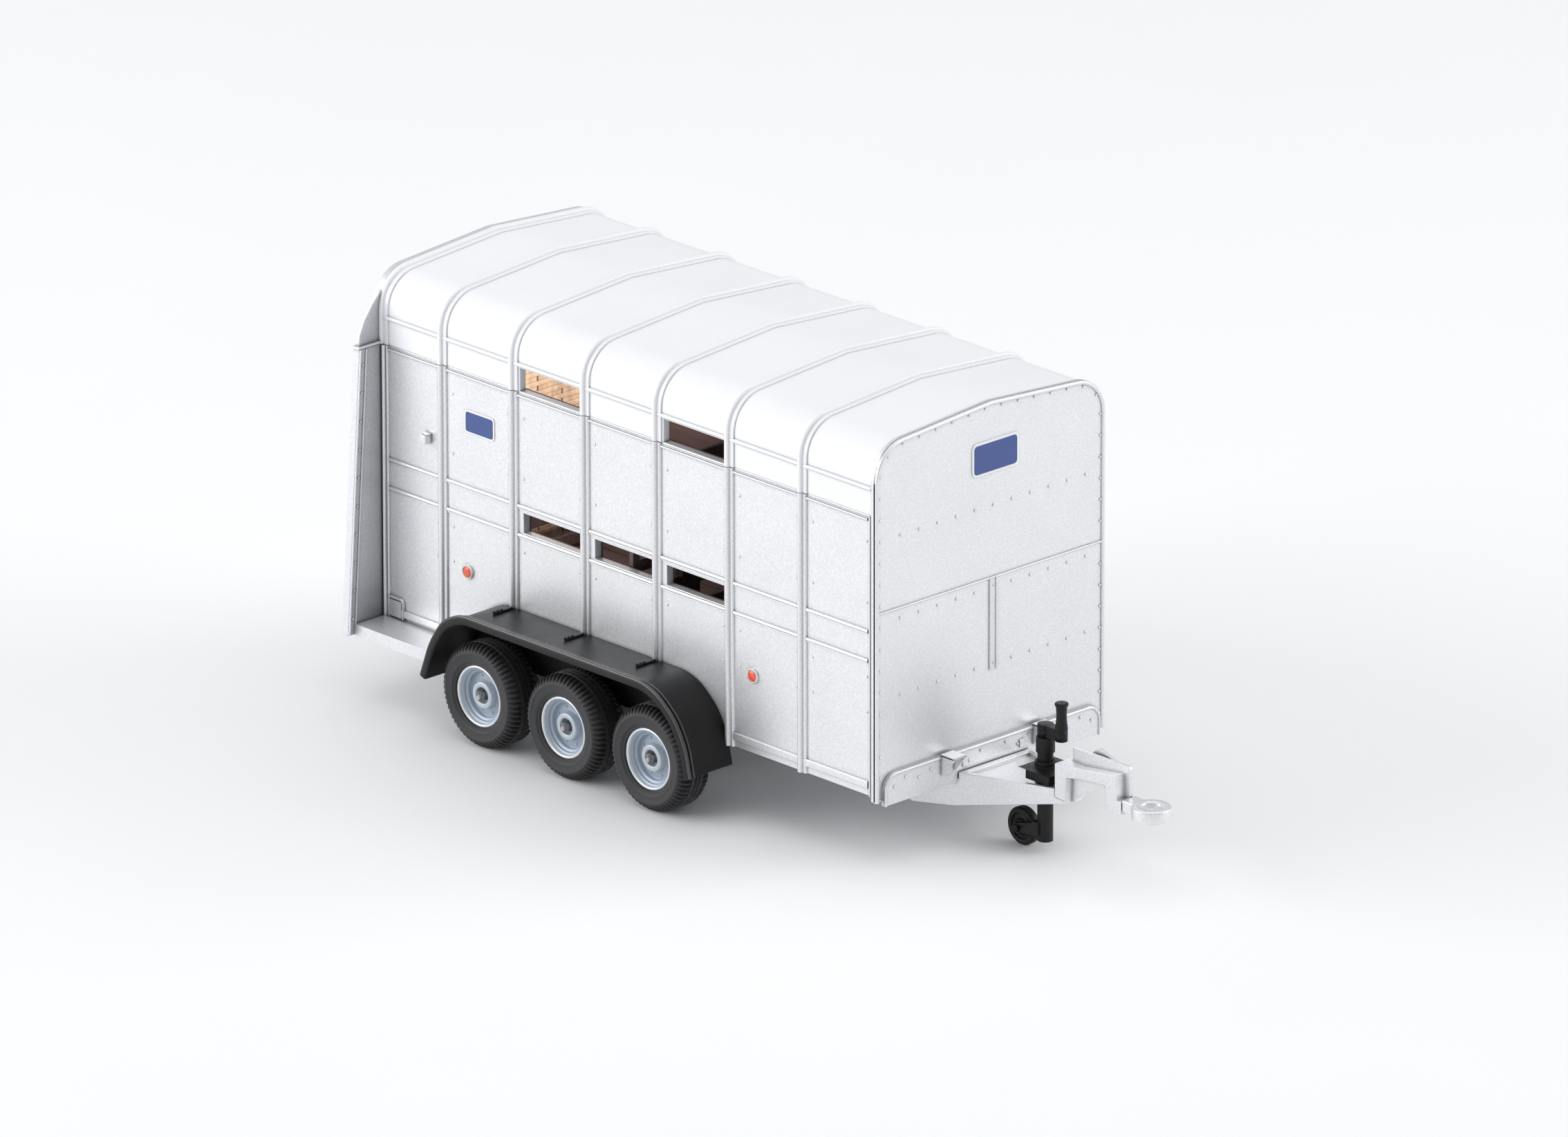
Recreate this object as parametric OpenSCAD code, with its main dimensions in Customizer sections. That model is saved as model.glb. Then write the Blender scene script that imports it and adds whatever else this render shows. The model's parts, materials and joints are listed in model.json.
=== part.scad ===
// Three-axle livestock trailer, 1:32 scale model, built as separate parts in one frame.
// Frame: X forward (drawbar end), Y left, Z up from the ground, origin under the middle. Millimetres.

/* [Body] */
// Front face of the front panel, ahead of the origin
x_front = 44.7; // [30:0.1:60]
// Length of the box body, front panel to the back of the rear portal
body_length = 132.7; // [105:0.1:165]
// Outside width of the box body
body_width = 56.5; // [46:0.1:70]
// Underside of the side panels above the ground
side_bottom = 13.6; // [12:0.1:15]
// Joint line between side panels and roof above the ground
joint_height = 67.1; // [55:0.1:81]
// Thickness of the moulded walls
wall = 1.2; // [0.9:0.05:1.8]
// Distance between two ribs
bay_pitch = 19.0; // [16:0.1:21]
// Shortest length left behind the last rib
last_bay = 10.0; // [6:0.1:16]
// Width of a rib
rib_width = 2.2; // [1.4:0.1:3]
// How far a rib stands out of the wall
rib_proud = 0.9; // [0.4:0.05:1.4]
// Width of the groove down the middle of a rib
rib_groove = 0.5; // [0.2:0.05:0.8]

/* [Rails and slots] */
// Height of the lower body rail
rail_low = 39.3; // [30:0.1:45]
// Height of the upper body rail
rail_high = 44.9; // [36:0.1:50]
// Height of a rail ridge
rail_width = 0.9; // [0.5:0.05:1.6]
// How far a rail ridge stands out
rail_proud = 0.4; // [0.2:0.05:0.8]
// Height of a side ventilation slot
slot_height = 3.8; // [2:0.1:4.4]
// Wall left between a slot and the rib behind it
slot_post = 1.1; // [0.4:0.1:6]
// Underside of the side slots above the ground
slot_bottom = 39.9; // [32:0.1:44]

/* [Roof] */
// Height of the vertical roof skirt
skirt_height = 6.4; // [4:0.1:9]
// Radius of the roof shoulder
shoulder_radius = 6.9; // [5:0.1:9]
// Pitch of the two roof slopes, in degrees
roof_pitch = 4.2; // [2:0.1:8]
// Thickness of the roof shell
roof_wall = 1.2; // [0.9:0.05:1.8]
// How far a hoop stands out of the roof
hoop_proud = 0.8; // [0.4:0.05:1.2]
// Height of the drip ridge above the joint line
drip_height = 4.8; // [3:0.1:6]
// Wall left between a roof window and the hoop behind it
window_post = 1.2; // [0.4:0.1:6]
// Height of a roof window's lower edge above the joint line
window_sill = 0.6; // [0.4:0.1:1.2]
// Height of a roof window
window_height = 4.1; // [2:0.1:4.4]

/* [Front] */
// Lip of the front panel beyond the body outline
front_lip = 0.5; // [0.2:0.05:1]
// Underside of the front panel above the ground
front_bottom = 12.7; // [11:0.1:13.5]
// Spacing of the front rivets
rivet_pitch = 4.63; // [3:0.01:6]
// Radius of a rivet head
rivet_radius = 0.36; // [0.2:0.02:0.6]
// How far a rivet head stands out
rivet_proud = 0.22; // [0.1:0.02:0.4]
// Height of the lower front flange
flange_height = 5.2; // [3:0.1:8]
// Thickness of the lower front flange
flange_thickness = 0.8; // [0.5:0.05:1.4]
// Distance of the lower front flange's end inside the body side
flange_inset = 1.25; // [0.5:0.05:6]
// Radius of the flange's top corners
flange_corner = 3.0; // [1:0.1:4]
// Distance of the gusset brackets from the middle
gusset_y = 11.5; // [9:0.1:16]
// Height of the front panel's seam above the ground
seam_height = 48.7; // [40:0.1:54]
// Width of the plain plate on the front
badge_width = 11.6; // [6:0.1:16]
// Height of the plain plate on the front
badge_height = 6.4; // [4:0.1:9]

/* [Rear portal and sills] */
// Thickness of the portal, along the trailer
portal_thickness = 2.6; // [1.6:0.1:4]
// Distance of the wing's outer edge from the body, at the bottom
wing_low = 9.4; // [6:0.1:12]
// Distance of the wing's outer edge from the body, at the joint line
wing_high = 6.0; // [4:0.1:9]
// Width of the post beside the doorway
door_jamb = 2.45; // [1.6:0.05:6]
// Head of the doorway below the joint line
doorway_drop = 5.6; // [3:0.1:10]
// Length of the corner plate beside the rear portal
corner_plate = 4.3; // [2:0.1:8]
// Top of the side sills above the ground
sill_top = 14.4; // [13.9:0.1:16]
// Depth of the side sills, outwards from the body
sill_depth = 7.8; // [5:0.1:9]
// Height of a side sill
sill_height = 2.3; // [1.4:0.1:3]

/* [Wheels] */
// Radius of a tyre
tyre_radius = 10.0; // [8:0.05:12]
// Width of a tyre
tyre_width = 7.6; // [5:0.1:8]
// Radius of the rim bed
rim_radius = 5.9; // [4.5:0.05:7]
// Gap between one tyre and the next
tyre_gap = 2.5; // [1:0.1:6]
// Distance of the rear axle ahead of the portal's back
axle_rear = 37.7; // [30:0.1:44]
// Radius of an axle
axle_radius = 1.0; // [0.8:0.02:1.3]
// Radial clearance of the axle in its bearing
axle_clearance = 0.06; // [0.03:0.01:0.1]
// Radial clearance between parts pushed together
push_clearance = 0.02; // [0.01:0.01:0.04]
// Distance of the outer tyre face from the body side
tyre_out = 9.95; // [9.4:0.05:11]
// Number of tread notches round a tyre shoulder
tread_count = 30; // [12:2:48]

/* [Mudguards] */
// Space between a tyre and the mudguard over it
guard_gap = 3.9; // [2.5:0.1:7]
// Thickness of a mudguard
guard_thickness = 1.0; // [0.7:0.05:1.6]
// Reach of a mudguard beyond the outer tyre face
guard_overhang = 1.05; // [0.4:0.05:3]

/* [Jockey wheel] */
// Distance of the jockey post ahead of the front panel
jockey_ahead = 14.3; // [12:0.1:16]
// Radius of the jockey post
post_radius = 1.45; // [1.1:0.05:1.8]
// Running clearance of the post in its plate
post_clearance = 0.06; // [0.03:0.01:0.1]
// Radius of the jockey wheel
jockey_radius = 3.6; // [3:0.1:4.2]
// Width of the jockey wheel
jockey_width = 2.0; // [1.4:0.1:2.6]
// Gap between the jockey wheel and the post
jockey_gap = 0.35; // [0.3:0.05:2]
// Radius of the jockey wheel's pin
fork_pin = 0.5; // [0.3:0.02:0.6]
// Length of the crank arm
crank_throw = 4.1; // [3:0.1:5]
// Height of the crank arm
arm_height = 2.2; // [1.4:0.1:3]
// Radius of the crank grip
grip_radius = 1.15; // [0.8:0.05:1.3]
// Length of the crank grip
grip_length = 5.1; // [3:0.1:7]

// Top of the jockey plate above the ground
plate_top = 16.6; // [16:0.1:18]
// Top of the jockey post above the ground
post_top = 22.2; // [21:0.1:27]
// Gap between the crank and the post under it
crank_gap = 0.15; // [0.1:0.05:0.4]

/* [Drawbar] */
// Half the spread of the drawbar beams at the front panel
beam_half = 9.15; // [8:0.05:11]
// Centre of the coupling eye ahead of the front panel
eye_ahead = 41.46; // [36:0.1:46]
// Radius of the hole in the coupling eye
eye_hole = 1.93; // [1.5:0.01:2.4]
// Outside radius of the coupling eye
eye_radius = 3.7; // [3:0.05:4.5]
// Thickness of the coupling eye
eye_thickness = 2.4; // [1.8:0.1:3]
// Top of the coupling eye above the ground
eye_top = 16.1; // [14:0.1:18]

/* [Ramp and gates] */
// Thickness of the rear ramp
ramp_thickness = 1.6; // [1.2:0.05:1.66]
// Radius of a hinge pin
pin_radius = 0.4; // [0.3:0.02:0.5]
// Running clearance of a hinge pin
pin_clearance = 0.05; // [0.03:0.01:0.1]
// Thickness of a gate
gate_thickness = 1.0; // [0.8:0.05:1.4]
// Distance of the rear gates ahead of the portal
gate_ahead = 3.4; // [3:0.1:6]
// Height of a rear gate
gate_height = 26; // [18:0.5:32]
// Distance of the partition gate behind the front panel
partition_back = 66.5; // [56:0.5:70]
// Height of the partition gate
partition_height = 40; // [26:0.5:42]
// Width of the upright in the partition gate
stile_width = 4.3; // [2:0.1:6]
// Number of planks on the load deck
board_count = 8; // [6:1:10]
// Thickness of a deck plank
board_thickness = 0.5; // [0.3:0.05:0.8]
// Gap between two deck planks
board_gap = 0.34; // [0.2:0.02:0.6]

/* [Hidden] */
$fn = 48;
w2 = body_width / 2;
y_in = w2 - wall;
x_rear = x_front - body_length;
x_portal = x_rear + portal_thickness;
x_inner = x_front - wall;
rib_count = floor((body_length - last_bay) / bay_pitch);
z_shoulder = joint_height + skirt_height;
deck_thickness = 1.4;
deck_low = side_bottom + 1.4;
deck_top = deck_low + deck_thickness;
board_pitch = 2 * (y_in - 0.4 + board_gap / 2) / board_count;
door_half = w2 - door_jamb;
door_head = joint_height - doorway_drop;
rail_y = w2 - 9.45;
rail_half = 1.2;
axle_pitch = 2 * tyre_radius + tyre_gap;
axle_z = tyre_radius;
track_half = w2 + tyre_out;
rim_mid = track_half - tyre_width / 2;
bearing_width = 4.0;
bearing_radius = axle_radius + 1.6;
guard_top = 2 * tyre_radius + guard_gap + guard_thickness;
guard_depth = tyre_out + guard_overhang;
guard_front = axle_x(1) + tyre_radius + 2.4;
guard_rear = axle_x(3) - tyre_radius - 3.4;
sill_end = guard_rear;
flat_front = axle_x(1) + 0.4;
flat_rear = axle_x(3) - 3.0;
chassis_x0 = x_portal + 8;
chassis_x1 = x_front - 20;
chassis_low = deck_low - 1.6;
screw_xs = [x_rear + 28, x_front - 24.7];
screw_radius = 0.5;
pin_foot = 1.1;
gate_x = x_portal + gate_ahead;
gate_y = y_in - 2.2;
gate_low = deck_top + 1.6;
part_x = x_front - partition_back;
stile_y = 12.0;
post_x = x_front + jockey_ahead;
wheel_x = post_x - post_radius - jockey_gap - jockey_radius;
wheel_half = jockey_width / 2;
fork_in = wheel_half + 0.25;
fork_out = fork_in + 0.8;
crank_z = post_top + crank_gap;
socket_radius = 0.8;
beam_slope = 0.299;
neck_x = x_front + 20;
neck_end = x_front + 35.5;
neck_half = 1.8;
web_half = 0.9;
hinge_x = x_rear - 1.0;
hinge_z = side_bottom - 0.7;
hinge_step = (door_half - 3.8) / 3;
knuckle_radius = 0.85;
wing_foot = front_bottom - 0.4;
ramp_x0 = x_rear - 0.2 - ramp_thickness;
ramp_half = door_half + 0.8;
ramp_top = door_head + 1.2;
ramp_rows = 3;
ramp_row = (ramp_top - 17.7) / ramp_rows;
ramp_board_count = 8;
ramp_board_half = door_half - 1.4;
ramp_board_pitch = (2 * ramp_board_half + board_gap) / ramp_board_count;
slot_bays = [2, 3, 4];
window_bays = [2, 4];
portal_knuckles = [-3 * hinge_step, -hinge_step, hinge_step, 3 * hinge_step];
ramp_knuckles = [-2 * hinge_step, 0, 2 * hinge_step];
silver = [0.77, 0.78, 0.80];
white = [0.95, 0.96, 0.98];
black = [0.10, 0.10, 0.11];
brown = [0.33, 0.24, 0.19];
wood = [0.72, 0.56, 0.40];
steel = [0.70, 0.70, 0.72];
red = [0.85, 0.22, 0.10];

function rib_x(k) = x_front - bay_pitch * k;
function axle_x(i) = x_rear + axle_rear + axle_pitch * (3 - i);
function wing_y(z) =
    w2 + wing_low - (wing_low - wing_high) * (z - wing_foot) / (joint_height + 0.5 - wing_foot);
function over_guard(x) = x > flat_rear && x < flat_front;
// Where a rib at x ends: on the sill, on the mudguard's top or at the panel's foot
function rib_low(x) = x < sill_end ? sill_top : over_guard(x) ? guard_top : side_bottom;
function beam_y(x) = beam_half - beam_slope * (x - x_front);

// A flat shape in Y and Z, run along X
module yz(x0, x1) translate([x0, 0, 0]) rotate([90, 0, 90]) linear_extrude(x1 - x0) children();
// A flat shape in X and Z, run along Y
module xz(y0, y1) translate([0, y1, 0]) rotate([90, 0, 0]) linear_extrude(y1 - y0) children();
module box(a, b) translate(a) cube(b - a);
module rod_y(x, z, r, y0, y1) translate([x, y1, z]) rotate([90, 0, 0]) cylinder(r = r, h = y1 - y0);
module rod_x(y, z, r, x0, x1) translate([x0, y, z]) rotate([0, 90, 0]) cylinder(r = r, h = x1 - x0);

// Outline of the roof section, drawn in by "ins" from the outside
module outline(ins, low) {
    r = shoulder_radius - ins;
    cy = w2 - shoulder_radius;
    ty = cy + r * sin(roof_pitch);
    tz = z_shoulder + r * cos(roof_pitch);
    ridge = tz + ty * tan(roof_pitch);
    translate([-w2 + ins, low]) square([2 * (w2 - ins), z_shoulder - low]);
    for (s = [-1, 1]) translate([s * cy, z_shoulder]) intersection() {
        circle(r);
        translate([-r - 1, -0.5]) square([2 * r + 2, r + 2]);
    }
    polygon([[-cy, z_shoulder - 1], [cy, z_shoulder - 1], [cy, z_shoulder], [ty, tz], [0, ridge],
        [-ty, tz], [-cy, z_shoulder]]);
}

module rivets_x(x, ys, z)
    for (y = ys) rod_x(y, z, rivet_radius, x - 0.1, x + rivet_proud);

module front_panel() color(silver) {
    side_rivets = floor((w2 - 4.5) / rivet_pitch);
    yz(x_inner, x_front) outline(-front_lip, front_bottom);
    top_row = joint_height - 4.7;
    for (z = [top_row, seam_height - 2, 32.1]) rivets_x(x_front, [for (j = [-side_rivets:side_rivets])
        if (z == top_row || j != 0) j * rivet_pitch + 0.73], z);
    box([x_front - 0.1, -w2 - front_lip, seam_height - 0.25],
        [x_front + 0.3, w2 + front_lip, seam_height + 0.25]);
    for (y = [-0.25, 1.25]) box([x_front - 0.1, y, 31.1], [x_front + 0.35, y + 0.6, seam_height]);
}

module side() {
    x0 = x_portal;
    difference() {
        union() {
            box([x0, y_in, side_bottom], [x_inner, w2, joint_height]);
            for (k = [1:rib_count]) difference() {
                box([rib_x(k) - rib_width / 2, w2 - 0.2, rib_low(rib_x(k))],
                    [rib_x(k) + rib_width / 2, w2 + rib_proud, joint_height]);
                box([rib_x(k) - rib_groove / 2, w2 + rib_proud - 0.4, side_bottom - 1],
                    [rib_x(k) + rib_groove / 2, w2 + rib_proud + 1, joint_height + 1]);
            }
            for (z = [rail_low, rail_high]) box([x0, w2 - 0.2, z - rail_width / 2],
                [x_inner, w2 + rail_proud, z + rail_width / 2]);
            for (span = [[x0, guard_rear - 0.6], [guard_front + 0.6, x_inner]])
                box([span[0], w2 - 0.2, 15.1], [span[1], w2 + rail_proud, 16.5]);
            box([x0, w2 - 0.2, 15.1], [x0 + corner_plate, w2 + rail_proud, 18.4]);
        }
        for (k = slot_bays) box([rib_x(k + 1) + rib_width / 2 + slot_post, y_in - 1, slot_bottom],
            [rib_x(k) - rib_width / 2, w2 + 3, slot_bottom + slot_height]);
    }
}
module side_left() color(silver) side();
module side_right() color(silver) mirror([0, 1, 0]) side();

module roof() color(white) difference() {
    union() {
        yz(x_portal, x_inner) difference() { outline(0, joint_height); outline(roof_wall, joint_height - 1); }
        for (s = [-1, 1]) box([x_portal, s > 0 ? w2 - 0.2 : -w2 - 0.35, joint_height + drip_height],
            [x_inner, s > 0 ? w2 + 0.35 : -w2 + 0.2, joint_height + drip_height + 0.5]);
    }
    window_low = joint_height + window_sill;
    for (k = window_bays) box([rib_x(k + 1) + rib_width / 2 + window_post, -w2 - 1, window_low],
        [rib_x(k) - rib_width / 2, w2 + 1, window_low + window_height]);
}

module roof_hoops() color(white) for (k = [1:rib_count]) difference() {
    yz(rib_x(k) - rib_width / 2, rib_x(k) + rib_width / 2) difference() {
        outline(-hoop_proud, joint_height);
        outline(0, joint_height - 1);
    }
    for (s = [-1, 1]) box([rib_x(k) - 2, s > 0 ? w2 : -w2 - 0.37, joint_height + drip_height - 0.02],
        [rib_x(k) + 2, s > 0 ? w2 + 0.37 : -w2, joint_height + drip_height + 0.52]);
    yz(rib_x(k) - rib_groove / 2, rib_x(k) + rib_groove / 2) difference() {
        outline(-hoop_proud - 1, joint_height - 1);
        outline(-hoop_proud + 0.3, joint_height - 2);
    }
}

module rear_portal() color(silver) difference() {
    union() {
        yz(x_rear, x_portal) {
            outline(-1.0, side_bottom);
            for (s = [-1, 1]) polygon([[s * (w2 - 2), side_bottom], [s * (w2 + 0.2), wing_foot],
                [s * (w2 + wing_low), wing_foot], [s * (w2 + wing_high), joint_height + 0.5],
                [s * (w2 + 5.2), joint_height + 4.4], [s * (w2 + 0.6), joint_height + 10.2],
                [s * (w2 - 2), joint_height + 9]]);
        }
        box([x_rear, -w2, 12.1], [x_portal, w2, side_bottom + 1]);
        for (s = [-1, 1], z = [wing_foot + 3.2:5.4:joint_height - 2])
            rod_x(s * (wing_y(z) - 0.8), z, rivet_radius, x_portal - 0.1, x_portal + rivet_proud);
        for (y = portal_knuckles) {
            rod_y(hinge_x, hinge_z, knuckle_radius, y - 2, y + 2);
            box([hinge_x, y - 2, hinge_z - 0.8], [x_rear + 0.2, y + 2, hinge_z + 0.8]);
        }
    }
    box([x_rear - 1, -door_half, deck_top], [x_portal + 1, door_half, door_head]);
    for (y = portal_knuckles) rod_y(hinge_x, hinge_z, pin_radius + pin_clearance, y - 3, y + 3);
}

module front_flange() color(silver) {
    half = w2 - flange_inset;
    face = x_front + flange_thickness;
    yz(x_front, face) {
        square_at(-half, front_bottom, 2 * half, flange_height - flange_corner);
        square_at(-half + flange_corner, front_bottom, 2 * (half - flange_corner), flange_height);
        for (s = [-1, 1])
            translate([s * (half - flange_corner), front_bottom + flange_height - flange_corner])
                circle(flange_corner);
    }
    for (s = [-1, 1], j = [0:4])
        rod_x(s * (8 + j * 4.3), 15.5, rivet_radius, face - 0.1, face + rivet_proud);
    for (s = [-1, 1]) {
        box([x_front, s * gusset_y - 1.6, 14.4], [x_front + 1.6, s * gusset_y + 1.6, 18.3]);
        translate([0, s * gusset_y - 0.4, 0]) xz(0, 0.8) polygon([[x_front + 1.4, 14.4],
            [x_front + 4.2, 17.2], [x_front + 4.2, 18.3], [x_front + 1.4, 18.3]]);
    }
}
module square_at(x, y, w, h) translate([x, y]) square([w, h]);

module front_badge() color([0.30, 0.42, 0.55])
    box([x_front, 1.1 - badge_width / 2, joint_height + 1.5],
        [x_front + 0.3, 1.1 + badge_width / 2, joint_height + 1.5 + badge_height]);
module side_badges() color([0.30, 0.42, 0.55]) for (s = [-1, 1]) {
    x = rib_x(rib_count - 1) - 9.3;
    z = (rail_high + joint_height) / 2 - 0.5;
    box([x - 4, s > 0 ? w2 : -w2 - 0.25, z], [x + 4, s > 0 ? w2 + 0.25 : -w2, z + 4.5]);
}

module deck() color(silver) difference() {
    box([x_portal, -y_in, deck_low], [x_inner, y_in, deck_top]);
    at_screws() translate([0, 0, deck_low - 1]) cylinder(r = screw_radius + push_clearance, h = 2);
}
module deck_boards() color(brown) difference() {
    for (j = [0:board_count - 1]) {
        y = -y_in + 0.4 + j * board_pitch;
        box([x_portal + 0.6, y, deck_top], [x_inner - 0.6, y + board_pitch - board_gap, deck_top + board_thickness]);
    }
    for (p = [[gate_x, gate_y], [gate_x, -gate_y], [part_x, gate_y]])
        translate([p[0], p[1], deck_top - 1]) cylinder(r = pin_foot + 0.15, h = 3);
}

module chassis() color(silver) difference() {
    union() {
        box([chassis_x0, -rail_y - rail_half, chassis_low], [chassis_x1, rail_y + rail_half, deck_low]);
        for (s = [-1, 1])
            box([chassis_x0, s * rail_y - rail_half, chassis_low - 1],
                [chassis_x1, s * rail_y + rail_half, deck_low]);
    }
    at_screws() translate([0, 0, chassis_low - 1]) cylinder(r = screw_radius + push_clearance, h = 9);
    for (i = [1:3]) rod_y(axle_x(i), axle_z, axle_radius + axle_clearance, -w2, w2);
}
module at_screws() for (x = screw_xs, s = [-1, 1]) translate([x, s * 8, 0]) children();

module axle_bearings() color(silver) for (s = [-1, 1], i = [1:3]) {
    ya = rail_y * s + (s > 0 ? rail_half : -rail_half - bearing_width);
    difference() {
        xz(ya, ya + bearing_width) {
            translate([axle_x(i), axle_z]) circle(bearing_radius);
            polygon([[axle_x(i) - bearing_radius, axle_z], [axle_x(i) + bearing_radius, axle_z],
                [axle_x(i) + 5, deck_low], [axle_x(i) - 5, deck_low]]);
        }
        rod_y(axle_x(i), axle_z, axle_radius + axle_clearance, -30, 30);
    }
}

module drawbar() color(silver) {
    x1 = neck_x;
    difference() {
        union() {
            intersection() {
                translate([0, 0, 3]) linear_extrude(14) polygon([
                    [x_front - 16, -beam_y(x_front - 16)], [x1 + 3, -beam_y(x1 + 3)],
                    [x1 + 3, beam_y(x1 + 3)], [x_front - 16, beam_y(x_front - 16)]]);
                xz(-20, 20) polygon([[x_front - 16, 12.7], [x_front - 13, 8.2], [x_front - 8, 6.6],
                    [x_front, 7.3], [x_front + 22.7, 12.0], [x_front + 24, 12.4], [x_front + 24, 14.6],
                    [x1, 14.4], [x_front + 1.0, 13.9], [x_front + 1.0, 12.7]]);
            }
            neck();
            for (s = [-1, 1]) box([x_front - 15, s * 11 - 1.5, 12.6], [x_front - 3, s * 11 + 1.5, deck_low]);
        }
        // Hollow underside and recessed top
        translate([0, 0, 2]) linear_extrude(10.4) polygon([
            [x_front - 14, -beam_y(x_front - 14) + 1.4], [x1 - 2, -beam_y(x1 - 2) + 1.4],
            [x1 - 2, beam_y(x1 - 2) - 1.4], [x_front - 14, beam_y(x_front - 14) - 1.4]]);
        translate([0, 0, 13.3]) linear_extrude(5) polygon([[x_front + 2.4, -beam_y(x_front + 2.4) + 0.9],
            [x1 - 1.2, -beam_y(x1 - 1.2) + 0.9], [x1 - 1.2, beam_y(x1 - 1.2) - 0.9],
            [x_front + 2.4, beam_y(x_front + 2.4) - 0.9]]);
        // Recessed web on both sides of the neck
        for (s = [-1, 1]) xz(s > 0 ? web_half : -10, s > 0 ? 10 : -web_half) polygon([
            [x_front + 22.0, 11.0], [x_front + 22.2, 16.9], [x_front + 31.1, 17.7], [x_front + 31.6, 17.0],
            [x_front + 31.6, 11.0]]);
        translate([post_x, 0, 0]) cylinder(r = post_radius + 0.35, h = 30);
    }
}
// Swan neck between the beams and the coupling eye, with an upright fin and a gusset beside it
module neck() {
    intersection() {
        translate([0, 0, 3]) linear_extrude(22) polygon([[neck_x, -3.3], [neck_x + 4.7, -neck_half],
            [neck_x + 18, -neck_half], [neck_x + 18, neck_half], [neck_x + 4.7, neck_half], [neck_x, 3.3]]);
        xz(-6, 6) polygon([[neck_x, 12.9], [x_front + 21.8, 12.35], [x_front + 31.4, 17.4],
            [x_front + 31.7, 13.1], [neck_end, 13.1], [neck_end, 15.6], [x_front + 34.4, 15.6],
            [x_front + 34.2, 20.35], [x_front + 24.7, 19.2], [neck_x, 19.3]]);
    }
    xz(0.3, 1.1) polygon([[x_front + 21, 18.5], [x_front + 21, 21.6], [neck_end - 0.4, 21.8],
        [neck_end, 21.4], [neck_end, 15.0], [x_front + 33.8, 15.0], [x_front + 33.8, 18.5]]);
    xz(neck_half - 0.2, neck_half + 0.5) polygon([[x_front + 24.7, 18.4], [x_front + 24.7, 21.4],
        [x_front + 26.4, 22.6], [x_front + 32.6, 20.4], [x_front + 32.6, 18.4]]);
}

module coupling_eye() color(silver) difference() {
    union() {
        translate([x_front + eye_ahead, 0, eye_top - eye_thickness])
            cylinder(r = eye_radius, h = eye_thickness);
        box([neck_end + 0.06, -1.7, eye_top - eye_thickness], [x_front + eye_ahead - 2.4, 1.7, eye_top]);
    }
    translate([x_front + eye_ahead, 0, 0]) cylinder(r = eye_hole, h = 30);
}

module sill() box([x_portal, w2, sill_top - sill_height], [sill_end, w2 + sill_depth, sill_top]);
module sill_left() color(silver) sill();
module sill_right() color(silver) mirror([0, 1, 0]) sill();

// Side outline of a mudguard, "t" below its top face
module guard_shape(t) {
    f = axle_x(1);
    r = axle_x(3);
    R = tyre_radius;
    polygon([[guard_front - t, R + 0.4 - t], [f + R + 1.2 - t, guard_top - 9.5],
        [f + R - 1.4 - t * 0.7, guard_top - 4.9], [f + R - 5.8 - t * 0.4, guard_top - 1.3 - t * 0.8],
        [flat_front, guard_top - t], [flat_rear, guard_top - t],
        [r - R + 2.5 + t * 0.4, guard_top - 2.3 - t * 0.8], [r - R - 0.8 + t * 0.8, guard_top - 7.3],
        [guard_rear + t, R + 1.7 - t]]);
}
module guard() difference() {
    union() {
        xz(w2, w2 + guard_depth) guard_shape(0);
        xz(w2 + guard_depth - 0.9, w2 + guard_depth + 0.4) guard_shape(-0.35);
        for (k = [1:rib_count]) if (over_guard(rib_x(k)))
            box([rib_x(k) - 0.35, w2 + 0.2, guard_top - 0.3], [rib_x(k) + 0.35, w2 + 5.4, guard_top + 0.5]);
    }
    xz(w2 - 1, w2 + guard_depth + 1) guard_shape(guard_thickness);
    notch = rib_width / 2 + 0.05;
    for (k = [1:rib_count]) box([rib_x(k) - notch, w2 - 1, over_guard(rib_x(k)) ? guard_top : 0],
        [rib_x(k) + notch, w2 + rib_proud + 0.05, guard_top + 3]);
    box([guard_rear - 2, w2 - 1, 0], [guard_front + 2, w2 + 20, tyre_radius - 0.1]);
}
module guard_left() color(black) guard();
module guard_right() color(black) mirror([0, 1, 0]) guard();

module axle(i) color(steel) rod_y(axle_x(i), axle_z, axle_radius, -track_half + 0.8, track_half - 0.8);
module axle_1() axle(1);
module axle_2() axle(2);
module axle_3() axle(3);

// Half section of a rim, outer face at positive height
module rim() difference() {
    a = axle_radius;
    r = rim_radius;
    rotate_extrude() polygon([[a + push_clearance, -2.6], [a + 1.2, -2.6], [a + 1.4, 0.2], [r - 0.9, 0.2],
        [r - 0.9, -3.0], [r - push_clearance, -3.0], [r - push_clearance, 3.2], [r - 0.6, 3.2],
        [r - 1.0, 2.6], [r - 1.3, 1.9], [r - 1.6, 1.2], [a + 1.9, 1.5], [a + 1.6, 2.3], [a + 1.2, 2.7],
        [a + 0.5, 2.7], [a + 0.4, 2.2], [a + push_clearance, 2.2]]);
    for (j = [0:5]) rotate([0, 0, j * 60]) translate([r - 2.3, 0, -1]) cylinder(r = 0.35, h = 4, $fn = 24);
}
module on_axle(i) for (s = [-1, 1]) translate([axle_x(i), s * rim_mid, axle_z])
    rotate([-90 * s, 0, 0]) children();
module rims(i) color([0.66, 0.70, 0.76]) on_axle(i) rim();
module rims_1() rims(1);
module rims_2() rims(2);
module rims_3() rims(3);

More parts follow.
